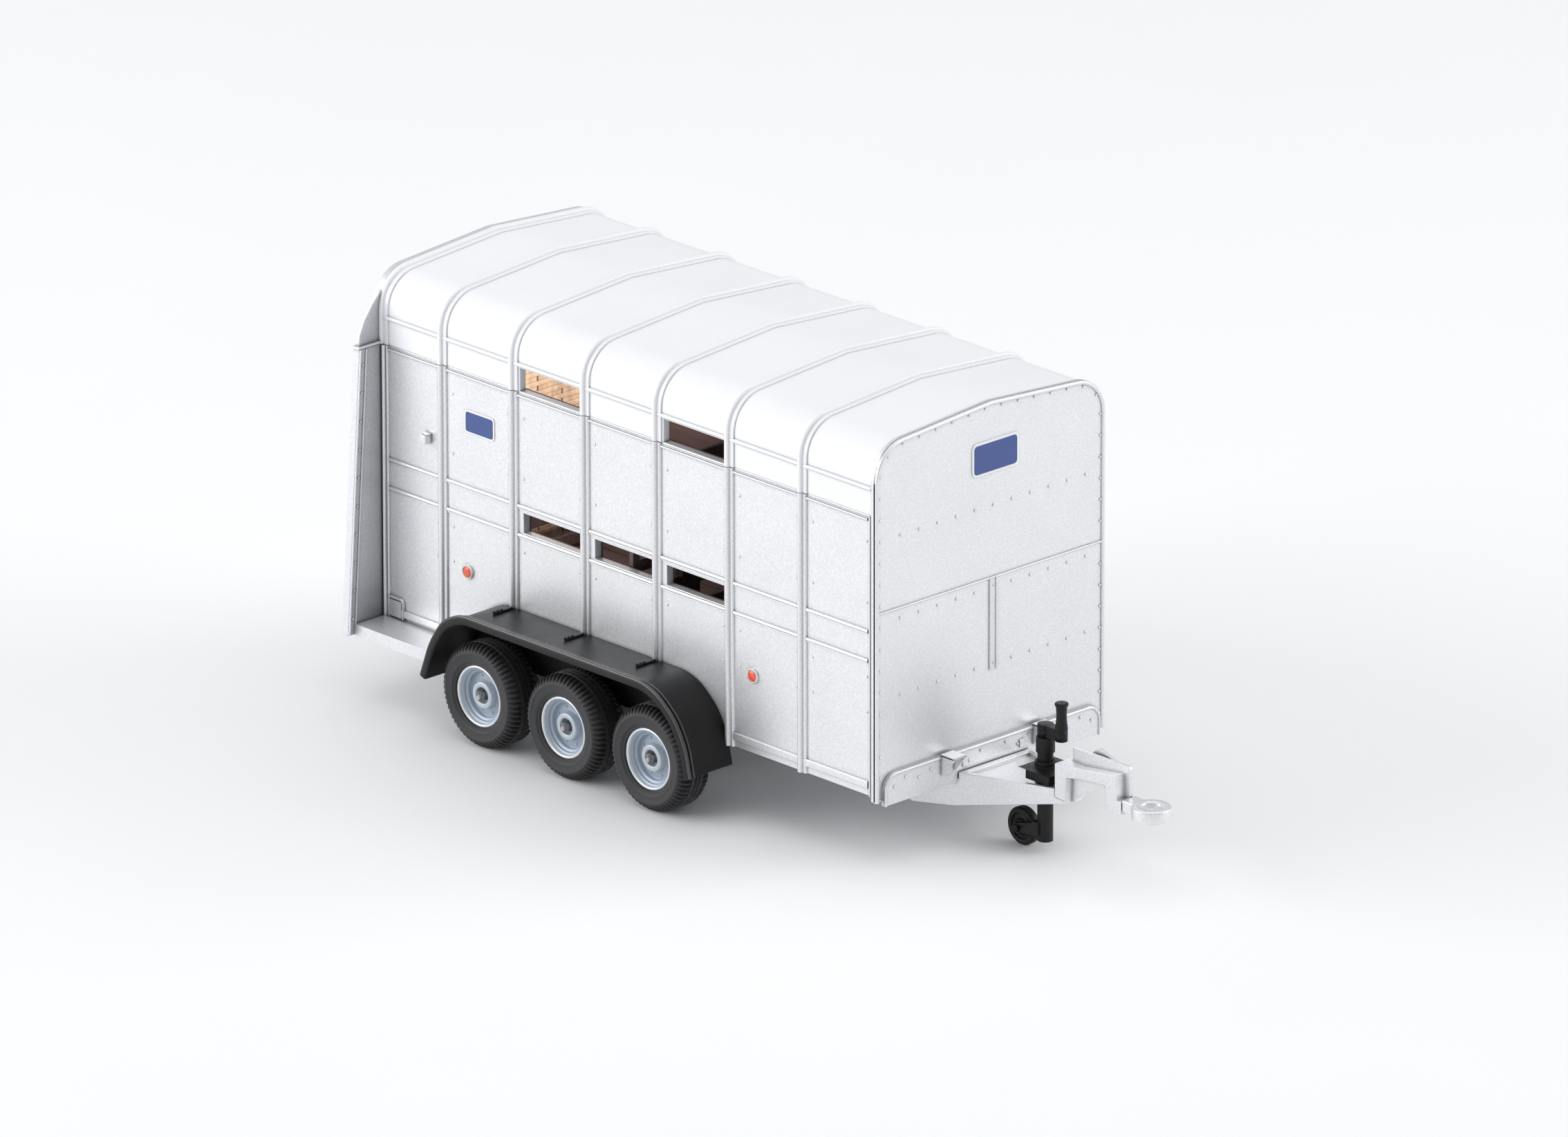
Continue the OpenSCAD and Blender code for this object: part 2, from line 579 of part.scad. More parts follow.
module tyre() difference() {
    r = tyre_radius;
    side = r - rim_radius;
    half = tyre_width / 2;
    groove = r - 0.3;
    rotate_extrude() polygon([[rim_radius, -half + 0.7], [rim_radius + 0.12 * side, -half + 0.2],
        [rim_radius + 0.37 * side, -half], [rim_radius + 0.66 * side, -half], [r - 0.5, -half + 0.6],
        [r, -half + 1.5], [r, -1.0], [groove, -0.9], [groove, -0.6], [r, -0.5], [r, 0.5], [groove, 0.6],
        [groove, 0.9], [r, 1.0], [r, half - 1.5], [r - 0.5, half - 0.6], [rim_radius + 0.66 * side, half],
        [rim_radius + 0.37 * side, half], [rim_radius + 0.12 * side, half - 0.2], [rim_radius, half - 0.7]]);
    for (j = [0:tread_count - 1], s = [-1, 1]) rotate([0, 0, (j + s * 0.25) * 360 / tread_count])
        box([r - 0.7, -0.3, s > 0 ? half - 1.9 : -half - 0.7],
            [r + 1, 0.3, s > 0 ? half + 0.7 : -half + 1.9]);
}
module tyres(i) color(black) on_axle(i) tyre();
module tyres_1() tyres(1);
module tyres_2() tyres(2);
module tyres_3() tyres(3);

module ramp() color(silver) difference() {
    union() {
        box([ramp_x0, -ramp_half, hinge_z + 1.05], [x_rear - 0.2, ramp_half, ramp_top]);
        for (y = ramp_knuckles) {
            rod_y(hinge_x, hinge_z, knuckle_radius, y - 2.5, y + 2.5);
            box([hinge_x - 0.8, y - 2.5, hinge_z], [x_rear - 0.25, y + 2.5, hinge_z + 1.2]);
        }
    }
    for (y = ramp_knuckles) rod_y(hinge_x, hinge_z, pin_radius + pin_clearance, y - 3, y + 3);
    for (j = [0:ramp_rows - 1]) box([ramp_x0 - 1, -door_half + 3.8, 18 + j * ramp_row],
        [ramp_x0 + 0.4, door_half - 3.8, 14 + (j + 1) * ramp_row]);
}
module ramp_boards() color(wood) for (j = [0:ramp_board_count - 1]) {
    y = -ramp_board_half + j * ramp_board_pitch;
    box([x_rear - 0.2, y, deck_top + 1.4], [x_rear + 0.2, y + ramp_board_pitch - board_gap, door_head - 1.0]);
}
module ramp_pin() color(steel) rod_y(hinge_x, hinge_z, pin_radius, -door_half + 1.2, door_half - 1.2);

// Pin that stands on the deck and is tied to the side wall above the gate
module standing_pin(x, y, top) {
    translate([x, y, deck_top]) cylinder(r = pin_radius, h = top + 0.6 - deck_top);
    translate([x, y, deck_top]) cylinder(r = pin_foot, h = 0.9);
    box([x - 1, y - 1, top + 0.5], [x + 1, y_in, top + 1.8]);
}
// Slatted gate that turns on a pin at x, y and reaches towards the other side
module slatted(x, y, reach, high, slats, first, pitch) difference() {
    union() {
        difference() {
            box([x - gate_thickness / 2, y - reach, gate_low],
                [x + gate_thickness / 2, y - 1.0, gate_low + high]);
            for (j = [0:slats - 1]) box([x - 3, y - reach + 1.6, gate_low + first + j * pitch],
                [x + 3, y - 3.0, gate_low + first + j * pitch + 3.4]);
        }
        for (z = [gate_low + 0.6, gate_low + high - 3.6]) {
            translate([x, y, z]) cylinder(r = 1.0, h = 3);
            box([x - gate_thickness / 2, y - 1.4, z], [x + gate_thickness / 2, y, z + 3]);
        }
    }
    translate([x, y, 0]) cylinder(r = pin_radius + pin_clearance, h = 80);
}
module gate() slatted(gate_x, gate_y, gate_y - 1.25, gate_height, 4, 2.2, 6.0);
module gate_pin() standing_pin(gate_x, gate_y, gate_low + gate_height);
module gate_left() color(brown) gate();
module gate_left_pin() color(steel) gate_pin();
module gate_right() color(brown) mirror([0, 1, 0]) gate();
module gate_right_pin() color(steel) mirror([0, 1, 0]) gate_pin();
module partition() color(brown) {
    slatted(part_x, gate_y, 2 * gate_y + 1.2, partition_height, 5, 11.5, 5.6);
    box([part_x - 1.0, -stile_y - stile_width / 2, gate_low], [part_x + 1.0, -stile_y + stile_width / 2,
        gate_low + partition_height]);
}
module partition_pin() color(steel) standing_pin(part_x, gate_y, gate_low + partition_height);

module jockey_plate() color(black) difference() {
    union() {
        box([post_x - 2.9, -4.2, 14.4], [post_x + 5.2, 4.2, plate_top]);
        translate([post_x, 0, 14.4]) cylinder(r = post_radius + 0.5, h = 3.2);
    }
    translate([post_x, 0, 0]) cylinder(r = post_radius + post_clearance, h = 40);
}
module jockey_post() color(black) difference() {
    union() {
        translate([post_x, 0, 2.2]) cylinder(r = post_radius, h = post_top - 2.2);
        translate([post_x, 0, post_top - 3.0]) cylinder(r = post_radius + 0.3, h = 3.0);
        box([post_x - post_radius, -fork_out, 3.4], [post_x, fork_out, 5.9]);
        for (s = [-1, 1]) {
            y = s > 0 ? fork_in : -fork_out;
            xz(y, y + fork_out - fork_in) polygon([[wheel_x - 0.3, jockey_radius - 0.9], [post_x, 3.4],
                [post_x, 5.9], [wheel_x - 0.3, jockey_radius + 0.9]]);
            rod_y(wheel_x, jockey_radius, 1.0, y, y + fork_out - fork_in);
        }
    }
    rod_y(wheel_x, jockey_radius, fork_pin + pin_clearance, -6, 6);
    translate([post_x, 0, post_top - 1.0]) cylinder(r = socket_radius, h = 5);
}
module jockey_wheel() color(black)
    translate([wheel_x, wheel_half, jockey_radius]) rotate([90, 0, 0]) rotate_extrude() polygon([
        [fork_pin + push_clearance, 0], [1.2, 0], [1.3, 0.5], [2.4, 0.5], [2.5, 0.1], [3.2, 0],
        [jockey_radius, 0.4], [jockey_radius, jockey_width - 0.4], [3.2, jockey_width],
        [2.5, jockey_width - 0.1], [2.4, jockey_width - 0.5], [1.3, jockey_width - 0.5],
        [1.2, jockey_width], [fork_pin + push_clearance, jockey_width]]);
module jockey_pin() color(steel) {
    rod_y(wheel_x, jockey_radius, fork_pin, -fork_out - 0.35, fork_out + 0.35);
    for (y = [-fork_out - 0.5, fork_out + 0.15]) rod_y(wheel_x, jockey_radius, 0.75, y, y + 0.35);
}

module crank() color(black) {
    translate([post_x, 0, crank_z]) cylinder(r = 1.5, h = arm_height);
    translate([post_x, 0, post_top - 0.9]) cylinder(r = socket_radius - pin_clearance, h = 1.2);
    box([post_x, -1.0, crank_z], [post_x + crank_throw, 1.0, crank_z + arm_height]);
    translate([post_x + crank_throw, 0, crank_z]) cylinder(r = grip_radius, h = arm_height);
    translate([post_x + crank_throw, 0, crank_z + arm_height - 0.1]) cylinder(r = 0.6, h = grip_length - 0.4);
}
module crank_grip() color(black) difference() {
    translate([post_x + crank_throw, 0, crank_z + arm_height]) cylinder(r = grip_radius, h = grip_length);
    translate([post_x + crank_throw, 0, crank_z])
        cylinder(r = 0.6 + push_clearance, h = arm_height + grip_length - 0.5);
}

module markers() for (x = [rib_x(rib_count - 1) - 12.6, x_front - 32.05])
    rod_y(x, guard_top + 3.65, 1.37, w2, w2 + 0.7);
module markers_left() color(red) markers();
module markers_right() color(red) mirror([0, 1, 0]) markers();

module catches() color(silver) for (s = [-1, 1]) {
    x = rib_x(rib_count) - 4.1;
    z = rail_high + 7.0;
    rod_y(x, z, 1.1, s > 0 ? w2 : -w2 - 0.5, s > 0 ? w2 + 0.5 : -w2);
    box([x - 0.8, s > 0 ? w2 + 0.4 : -w2 - 1.6, z - 1.1], [x + 0.8, s > 0 ? w2 + 1.6 : -w2 - 0.4, z + 1.1]);
}
module rear_lamps() color(red) for (s = [-1, 1]) for (z = [18, 23])
    rod_x(s * (w2 + 4.4), z, 1.3, x_rear - 0.8, x_rear);
module screws() color(steel) at_screws() difference() {
    union() {
        translate([0, 0, chassis_low - 0.8]) cylinder(r = 1.2, h = 0.8);
        translate([0, 0, chassis_low - 0.1]) cylinder(r = screw_radius, h = 2.5);
    }
    box([-1.0, -0.15, chassis_low - 1], [1.0, 0.15, chassis_low - 0.5]);
}

front_panel();
side_left();
side_right();
roof();
roof_hoops();
rear_portal();
front_flange();
front_badge();
side_badges();
deck();
deck_boards();
chassis();
axle_bearings();
drawbar();
coupling_eye();
sill_left();
sill_right();
guard_left();
guard_right();
axle_1();
axle_2();
axle_3();
rims_1();
rims_2();
rims_3();
tyres_1();
tyres_2();
tyres_3();
ramp();
ramp_boards();
ramp_pin();
gate_left();
gate_left_pin();
gate_right();
gate_right_pin();
partition();
partition_pin();
jockey_plate();
jockey_post();
jockey_wheel();
jockey_pin();
crank();
crank_grip();
markers_left();
markers_right();
catches();
rear_lamps();
screws();
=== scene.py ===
"""Looks of a 1:32 livestock trailer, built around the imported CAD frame. Metres, X forward, Y left, Z up."""

import json
import math

import bmesh
import bpy
from mathutils import Matrix, Vector


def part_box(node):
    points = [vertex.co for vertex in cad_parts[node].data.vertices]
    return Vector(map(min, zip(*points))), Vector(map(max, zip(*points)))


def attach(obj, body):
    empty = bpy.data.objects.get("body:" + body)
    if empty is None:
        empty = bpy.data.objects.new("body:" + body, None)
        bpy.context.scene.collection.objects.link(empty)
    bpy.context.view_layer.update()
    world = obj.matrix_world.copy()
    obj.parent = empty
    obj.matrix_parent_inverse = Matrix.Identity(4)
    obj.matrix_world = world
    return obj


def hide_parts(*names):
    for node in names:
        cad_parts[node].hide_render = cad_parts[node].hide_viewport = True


MM = 0.001

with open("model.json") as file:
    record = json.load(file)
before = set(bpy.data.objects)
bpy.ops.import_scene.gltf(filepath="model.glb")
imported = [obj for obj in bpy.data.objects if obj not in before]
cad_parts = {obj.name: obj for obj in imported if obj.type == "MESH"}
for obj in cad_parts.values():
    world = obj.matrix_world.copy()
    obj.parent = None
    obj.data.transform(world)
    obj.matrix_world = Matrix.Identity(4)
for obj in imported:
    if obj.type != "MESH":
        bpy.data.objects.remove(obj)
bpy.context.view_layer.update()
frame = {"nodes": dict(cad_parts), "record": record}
BODY_OF = {node: body for body, nodes in frame["record"]["behaviour"]["bodies"].items() for node in nodes}


# ---------------------------------------------------------------- finishes


def scaled_by(nodes, links, value, from_low, from_high, to_low, to_high, tinted, colour):
    """Scales the colour so far by a texture value, mapped from one range to another."""
    factor = nodes.new("ShaderNodeMapRange")
    factor.inputs["From Min"].default_value = from_low
    factor.inputs["From Max"].default_value = from_high
    factor.inputs["To Min"].default_value = to_low
    factor.inputs["To Max"].default_value = to_high
    links.new(value, factor.inputs["Value"])
    scaled = nodes.new("ShaderNodeVectorMath")
    scaled.operation = "SCALE"
    if tinted is None:
        scaled.inputs[0].default_value = colour
    else:
        links.new(tinted, scaled.inputs[0])
    links.new(factor.outputs["Result"], scaled.inputs["Scale"])
    return scaled.outputs["Vector"]


def finish(name, colour, roughness, layers, metallic=0.0, coat=0.0, specular=0.5, sheen=0.0, subsurface=0.0):
    """A procedural material. Each layer is a dict: kind, size in mm, and the amounts it adds:
    tint (share of the colour), rough (of the roughness), bump (height in mm)."""
    made = bpy.data.materials.new(name)
    made.use_nodes = True
    nodes, links = made.node_tree.nodes, made.node_tree.links
    shader = nodes["Principled BSDF"]
    shader.inputs["Metallic"].default_value = metallic
    shader.inputs["Coat Weight"].default_value = coat
    shader.inputs["Coat Roughness"].default_value = 0.18
    shader.inputs["Specular IOR Level"].default_value = specular
    shader.inputs["Sheen Weight"].default_value = sheen
    shader.inputs["Subsurface Weight"].default_value = subsurface
    shader.inputs["Subsurface Radius"].default_value = (0.002, 0.002, 0.0024)
    shader.inputs["Subsurface Scale"].default_value = 1.0
    place = nodes.new("ShaderNodeTexCoord")
    tinted, rough, normal = None, None, None
    for layer in layers:
        # painted shade: this layer uses ambient occlusion to darken the colour towards the dark amount in
        # creases, recesses and between parts within size mm
        if layer["kind"] == "painted_crevice_shade":
            occlusion_shade = nodes.new("ShaderNodeAmbientOcclusion")
            occlusion_shade.samples = 8
            occlusion_shade.inputs["Distance"].default_value = layer["size"] * MM
            value = occlusion_shade.outputs["AO"]
            tinted = scaled_by(nodes, links, value, 0.25, 0.95, layer["dark"], 1.0, tinted, colour)
            continue
        stretch = nodes.new("ShaderNodeMapping")
        stretch.inputs["Scale"].default_value = layer.get("stretch", (1.0, 1.0, 1.0))
        links.new(place.outputs["Object"], stretch.inputs["Vector"])
        if layer["kind"] == "cells":
            texture = nodes.new("ShaderNodeTexVoronoi")
            value = texture.outputs["Distance"]
        else:
            texture = nodes.new("ShaderNodeTexNoise")
            texture.inputs["Detail"].default_value = layer.get("detail", 2.0)
            value = texture.outputs["Fac"]
        texture.inputs["Scale"].default_value = 1.0 / (layer["size"] * MM)
        links.new(stretch.outputs["Vector"], texture.inputs["Vector"])
        if "tint" in layer:
            tinted = scaled_by(nodes, links, value, layer.get("low", 0.25), layer.get("high", 0.75),
                               1.0 - layer["tint"], 1.0 + layer["tint"], tinted, colour)
        if "rough" in layer:
            amount = nodes.new("ShaderNodeMath")
            amount.operation = "MULTIPLY_ADD"
            links.new(value, amount.inputs[0])
            amount.inputs[1].default_value = layer["rough"]
            if rough is None:
                amount.inputs[2].default_value = roughness - layer["rough"] / 2
            else:
                links.new(rough, amount.inputs[2])
            rough = amount.outputs["Value"]
        if "bump" in layer:
            bump = nodes.new("ShaderNodeBump")
            bump.inputs["Distance"].default_value = layer["bump"] * MM
            bump.inputs["Strength"].default_value = 1.0
            links.new(value, bump.inputs["Height"])
            if normal is not None:
                links.new(normal, bump.inputs["Normal"])
            normal = bump.outputs["Normal"]
    if tinted is None:
        shader.inputs["Base Color"].default_value = (*colour, 1.0)
    else:
        links.new(tinted, shader.inputs["Base Color"])
    if rough is None:
        shader.inputs["Roughness"].default_value = roughness
    else:
        links.new(rough, shader.inputs["Roughness"])
    if normal is not None:
        links.new(normal, shader.inputs["Normal"])
    return made


# The silver paint's flake, bump and mottle, plus painted shade: an ambient-occlusion layer darkens the colour in
# creases and beside ribs, rails and rivets.
FLAKES_AND_CREVICE_SHADE = [
    {"kind": "cells", "size": 0.34, "tint": 0.07, "low": 0.1, "high": 0.8, "bump": 0.006},
    {"kind": "noise", "size": 0.22, "tint": 0.06, "rough": 0.22, "bump": 0.004},
    {"kind": "noise", "size": 14.0, "tint": 0.02, "rough": 0.06},
    {"kind": "painted_crevice_shade", "size": 0.8, "dark": 0.3}]
FINISHES = {
    "silver_body": finish("silver_flake_paint", (0.79, 0.80, 0.82), 0.36, FLAKES_AND_CREVICE_SHADE, metallic=0.55, coat=0.25),
    "roof_white": finish("white_moulding", (0.91, 0.92, 0.945), 0.30, [
        {"kind": "noise", "size": 0.5, "tint": 0.01, "rough": 0.08, "bump": 0.003},
        {"kind": "noise", "size": 18.0, "tint": 0.015, "rough": 0.08, "bump": 0.02},
        # painted shade in the roof's creases and recesses
        {"kind": "painted_crevice_shade", "size": 0.8, "dark": 0.35}], coat=0.2),
    "tyre_rubber": finish("tyre_rubber", (0.021, 0.021, 0.023), 0.50, [
        {"kind": "noise", "size": 0.3, "tint": 0.25, "rough": 0.2, "bump": 0.010},
        {"kind": "noise", "size": 3.0, "tint": 0.2, "rough": 0.14}], specular=0.5, sheen=0.1),
    "rim_plastic": finish("rim_blue_grey", (0.36, 0.42, 0.50), 0.36, [
        {"kind": "noise", "size": 0.3, "tint": 0.05, "rough": 0.12, "bump": 0.005},
        {"kind": "noise", "size": 4.0, "tint": 0.06, "rough": 0.08}], metallic=0.2, coat=0.2),
    "black_plastic": finish("black_grained_plastic", (0.006, 0.006, 0.0065), 0.42, [
        {"kind": "noise", "size": 0.25, "tint": 0.2, "rough": 0.2, "bump": 0.014},
        {"kind": "noise", "size": 5.0, "tint": 0.2, "rough": 0.1}], specular=0.32),
    "steel": finish("pin_steel", (0.40, 0.40, 0.42), 0.38, [
        {"kind": "noise", "size": 0.2, "stretch": (1.0, 0.1, 1.0), "tint": 0.08, "rough": 0.2,
         "bump": 0.004}], metallic=1.0),
    "brown_board": finish("brown_boards", (0.10, 0.066, 0.062), 0.55, [
        {"kind": "noise", "size": 1.2, "stretch": (0.12, 1.0, 1.0), "tint": 0.22, "rough": 0.2, "bump": 0.03},
        {"kind": "noise", "size": 9.0, "tint": 0.12}]),
    "tan_board": finish("tan_boards", (0.76, 0.54, 0.38), 0.48, [
        {"kind": "noise", "size": 1.1, "stretch": (1.0, 1.0, 0.1), "tint": 0.25, "rough": 0.2, "bump": 0.03},
        {"kind": "noise", "size": 7.0, "tint": 0.12},
        # painted shade between the boards and battens
        {"kind": "painted_crevice_shade", "size": 1.0, "dark": 0.45}]),
    "marker_red": finish("marker_red", (0.78, 0.10, 0.035), 0.22, [
        {"kind": "cells", "size": 0.4, "tint": 0.10, "rough": 0.1, "bump": 0.01}], coat=0.6),
    "badge_blue": finish("plain_plate_blue", (0.035, 0.075, 0.27), 0.4, [
        {"kind": "noise", "size": 0.5, "tint": 0.05, "rough": 0.1, "bump": 0.003}], coat=0.3),
}
PALE_RIM = finish("rim_lip_pale", (0.74, 0.77, 0.80), 0.25, [
    {"kind": "noise", "size": 0.3, "tint": 0.04, "rough": 0.12, "bump": 0.004}], metallic=0.4, coat=0.3)
PALE_BEZEL = finish("bezel_silver", (0.80, 0.81, 0.83), 0.25, [
    {"kind": "noise", "size": 0.3, "tint": 0.03, "rough": 0.1, "bump": 0.004}], metallic=0.6)
# Painted highlight: the beads are a lighter black than the strip so that they read as highlight lines; the low
# roughness and strong specular are their real gloss.
BEAD_BLACK_PAINTED_HIGHLIGHT = finish("black_bead_painted_highlight", (0.05, 0.05, 0.054), 0.24, [
    {"kind": "noise", "size": 0.3, "tint": 0.1, "rough": 0.1, "bump": 0.006}], specular=0.7)
# Painted shade: a darker copy of the silver paint for the rear doorway frame, with a wide ambient-occlusion
# layer that darkens it near the body and the wings.
SILVER_PAINTED_SHADE = finish("silver_flake_painted_shade", (0.74, 0.75, 0.79), 0.38, FLAKES_AND_CREVICE_SHADE + [
    {"kind": "painted_crevice_shade", "size": 13.0, "dark": 0.3}], metallic=0.55, coat=0.2)
HUB_GREY = finish("hub_grey", (0.50, 0.55, 0.60), 0.32, [
    {"kind": "noise", "size": 0.3, "tint": 0.05, "rough": 0.12, "bump": 0.004}], metallic=0.25, coat=0.2)
PLATE_WHITE = finish("plain_plate_white", (0.86, 0.87, 0.88), 0.35, [
    {"kind": "noise", "size": 0.5, "tint": 0.02, "rough": 0.1, "bump": 0.003}], coat=0.2)


# ---------------------------------------------------------------- mesh tools


def place(mesh_object, body, slot, material=None, replaces=()):
    """Gives a new piece its body and its finish, which is the slot's unless a material is given, and hides the
    CAD nodes it replaces.
    """
    mesh_object.data.materials.clear()
    mesh_object.data.materials.append(material or FINISHES[slot])
    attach(mesh_object, body)
    if replaces:
        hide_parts(*replaces)
    return mesh_object


def smooth(mesh, degrees=35.0):
    for face in mesh.polygons:
        face.use_smooth = True
    mesh.set_sharp_from_angle(angle=math.radians(degrees))


def weighted(piece):
    """Lets the large faces of a piece set its shading, so that they look flat beside a rounded edge."""
    even = piece.modifiers.new("even_shading", "WEIGHTED_NORMAL")
    even.keep_sharp = True
    return applied(piece)


def new_object(name, bm, degrees=35.0):
    """An object from a bmesh, with outward normals and smooth shading below the given angle."""
    bmesh.ops.recalc_face_normals(bm, faces=bm.faces)
    mesh = bpy.data.meshes.new(name)
    bm.to_mesh(mesh)
    bm.free()
    smooth(mesh, degrees)
    made = bpy.data.objects.new(name, mesh)
    bpy.context.scene.collection.objects.link(made)
    return made


def applied(piece):
    """Turns a piece's modifiers into its mesh."""
    graph = bpy.context.evaluated_depsgraph_get()
    baked = bpy.data.meshes.new_from_object(piece.evaluated_get(graph))
    piece.modifiers.clear()
    piece.data = baked
    return piece


def bevel(piece, width, segments=2, shortest=0.25):
    """Rounds every sharp edge that is longer than "shortest" mm."""
    bm = bmesh.new()
    bm.from_mesh(piece.data)
    weight = bm.edges.layers.float.get("bevel_weight_edge") or bm.edges.layers.float.new("bevel_weight_edge")
    for edge in bm.edges:
        sharp = len(edge.link_faces) == 2 and edge.calc_face_angle(0.0) > math.radians(28)
        edge[weight] = 1.0 if sharp and edge.calc_length() > shortest * MM else 0.0
    bm.to_mesh(piece.data)
    bm.free()
    rounding = piece.modifiers.new("rounding", "BEVEL")
    rounding.width = width * MM
    rounding.segments = segments
    rounding.limit_method = "WEIGHT"
    rounding.use_clamp_overlap = False
    rounding.harden_normals = False
    applied(piece)
    smooth(piece.data, 50.0)
    return weighted(piece)


def softened(node, slot, width=0.12, segments=2, shortest=0.25, material=None):
    """A copy of a CAD node with its moulded edges rounded, standing for that node."""
    bm = bmesh.new()
    bm.from_mesh(frame["nodes"][node].data)
    bmesh.ops.remove_doubles(bm, verts=bm.verts, dist=1e-6)
    piece = new_object(node + "_finished", bm)
    bevel(piece, width, segments, shortest)
    return place(piece, BODY_OF[node], slot, material, [node])


def extrude(bm, profile, u, v, start, along):
    """Runs a closed profile of (a, b) points, in mm along u and v, from start by the vector "along"."""
    rings = [[bm.verts.new((start + u * a + v * b + step) * MM) for a, b in profile]
             for step in (Vector((0, 0, 0)), along)]
    for i in range(len(profile)):
        k = (i + 1) % len(profile)
        bm.faces.new((rings[0][i], rings[0][k], rings[1][k], rings[1][i]))
    bm.faces.new(list(reversed(rings[0])))
    bm.faces.new(rings[1])


def sheet_with_holes(bm, count_u, count_v, point, holes):
    """A wall of cells. point(i, j, side) is a corner on its outer (1) or inner (0) face.
    holes lists the cells left open."""
    corners = {}

    def corner(i, j, side):
        if (i, j, side) not in corners:
            corners[i, j, side] = bm.verts.new(point(i, j, side) * MM)
        return corners[i, j, side]

    cells = {(i, j) for i in range(count_u) for j in range(count_v)} - set(holes)
    for i, j in cells:
        for side in (0, 1):
            bm.faces.new([corner(a, b, side) for a, b in ((i, j), (i + 1, j), (i + 1, j + 1), (i, j + 1))])
        for beside, ends in (((i - 1, j), ((i, j), (i, j + 1))), ((i + 1, j), ((i + 1, j), (i + 1, j + 1))),
                             ((i, j - 1), ((i, j), (i + 1, j))), ((i, j + 1), ((i, j + 1), (i + 1, j + 1)))):
            if beside not in cells:
                bm.faces.new([corner(*ends[0], 0), corner(*ends[1], 0),
                              corner(*ends[1], 1), corner(*ends[0], 1)])


def lathe(bm, profile, centre, side, segments, wobble=None, upright=False):
    """Turns a profile of (radius, height) in mm about Y, or about Z when upright.
    The height points to "side" of centre, and wobble(i, j) changes the radius of point i at turn j."""
    rings = []
    for j in range(segments):
        turn = 2 * math.pi * j / segments
        ring = []
        for i, (radius, height) in enumerate(profile):
            r = radius + (wobble(i, j) if wobble else 0.0)
            a, b = r * math.cos(turn), r * math.sin(turn)
            spot = (a, b, side * height) if upright else (a, side * height, b)
            ring.append(bm.verts.new(centre + Vector(spot) * MM))
        rings.append(ring)
    for j in range(segments):
        a, b = rings[j], rings[(j + 1) % segments]
        for i in range(len(profile)):
            k = (i + 1) % len(profile)
            bm.faces.new((a[i], a[k], b[k], b[i]))


def dome(bm, centre, normal, radius, height, rings=3, segments=12):
    """A low rivet head of this radius and height in mm, on a face with this normal."""
    turn = Vector((0, 0, 1)).rotation_difference(Vector(normal)).to_matrix()
    previous = None
    for i in range(rings + 1):
        lift = math.sin(math.pi / 2 * i / rings)
        r = radius * math.cos(math.pi / 2 * i / rings)
        if i == rings:
            top = bm.verts.new(centre + turn @ Vector((0, 0, height)) * MM)
            for j in range(segments):
                bm.faces.new((previous[j], previous[(j + 1) % segments], top))
            break
        z = -0.08 if i == 0 else height * lift
        ring = [bm.verts.new(centre + turn @ Vector((r * math.cos(2 * math.pi * j / segments),
                r * math.sin(2 * math.pi * j / segments), z)) * MM) for j in range(segments)]
        if previous:
            for j in range(segments):
                k = (j + 1) % segments
                bm.faces.new((previous[j], previous[k], ring[k], ring[j]))
        else:
            bm.faces.new(list(reversed(ring)))
        previous = ring


def block(bm, low, high):
    """A box between two corners in mm."""
    made = bmesh.ops.create_cube(bm, size=1.0)["verts"]
    middle = (Vector(low) + Vector(high)) / 2
    size = Vector(high) - Vector(low)
    for vert in made:
        vert.co = Vector((middle[i] + vert.co[i] * size[i] for i in range(3))) * MM


def sweep(bm, path, section):
    """Runs a closed section along a path. section(i) gives the points of ring i, all of one length."""
    rings = [[bm.verts.new(p * MM) for p in section(i)] for i in range(len(path))]
    count = len(rings[0])
    for a, b in zip(rings, rings[1:]):
        for i in range(count):
            k = (i + 1) % count
            bm.faces.new((a[i], a[k], b[k], b[i]))
    bm.faces.new(list(reversed(rings[0])))
    bm.faces.new(rings[-1])


# ---------------------------------------------------------------- places taken from the frame


def mm_box(node):
    low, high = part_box(node)
    return low / MM, high / MM


SIDE_LOW, SIDE_HIGH = mm_box("side_right")
HOOP_LOW, HOOP_HIGH = mm_box("roof_hoops")
FRONT_LOW = mm_box("front_panel")[0]
JOINT = SIDE_HIGH.z
DECK_TOP = mm_box("deck")[1].z
RIB_WIDTH = 2.2
RIB_COUNT = 6
RIB_PITCH = (HOOP_HIGH.x - HOOP_LOW.x - RIB_WIDTH) / (RIB_COUNT - 1)
RIBS = [HOOP_HIGH.x - RIB_WIDTH / 2 - RIB_PITCH * k for k in range(RIB_COUNT)]
RIB_PROUD = 0.9
HALF = -SIDE_LOW.y - RIB_PROUD
X_FRONT = FRONT_LOW.x + 1.2
AXLES = [(middle.x, middle.z) for middle in (sum(mm_box(f"axle_{i}"), Vector()) / 2 for i in (1, 2, 3))]
SINK = 0.02  # how far a bead or rib starts below the face it stands on
RIVET = (0.3, 0.26)  # radius and height
THIN_RIVET = (0.26, 0.2)


# ---------------------------------------------------------------- softened CAD nodes

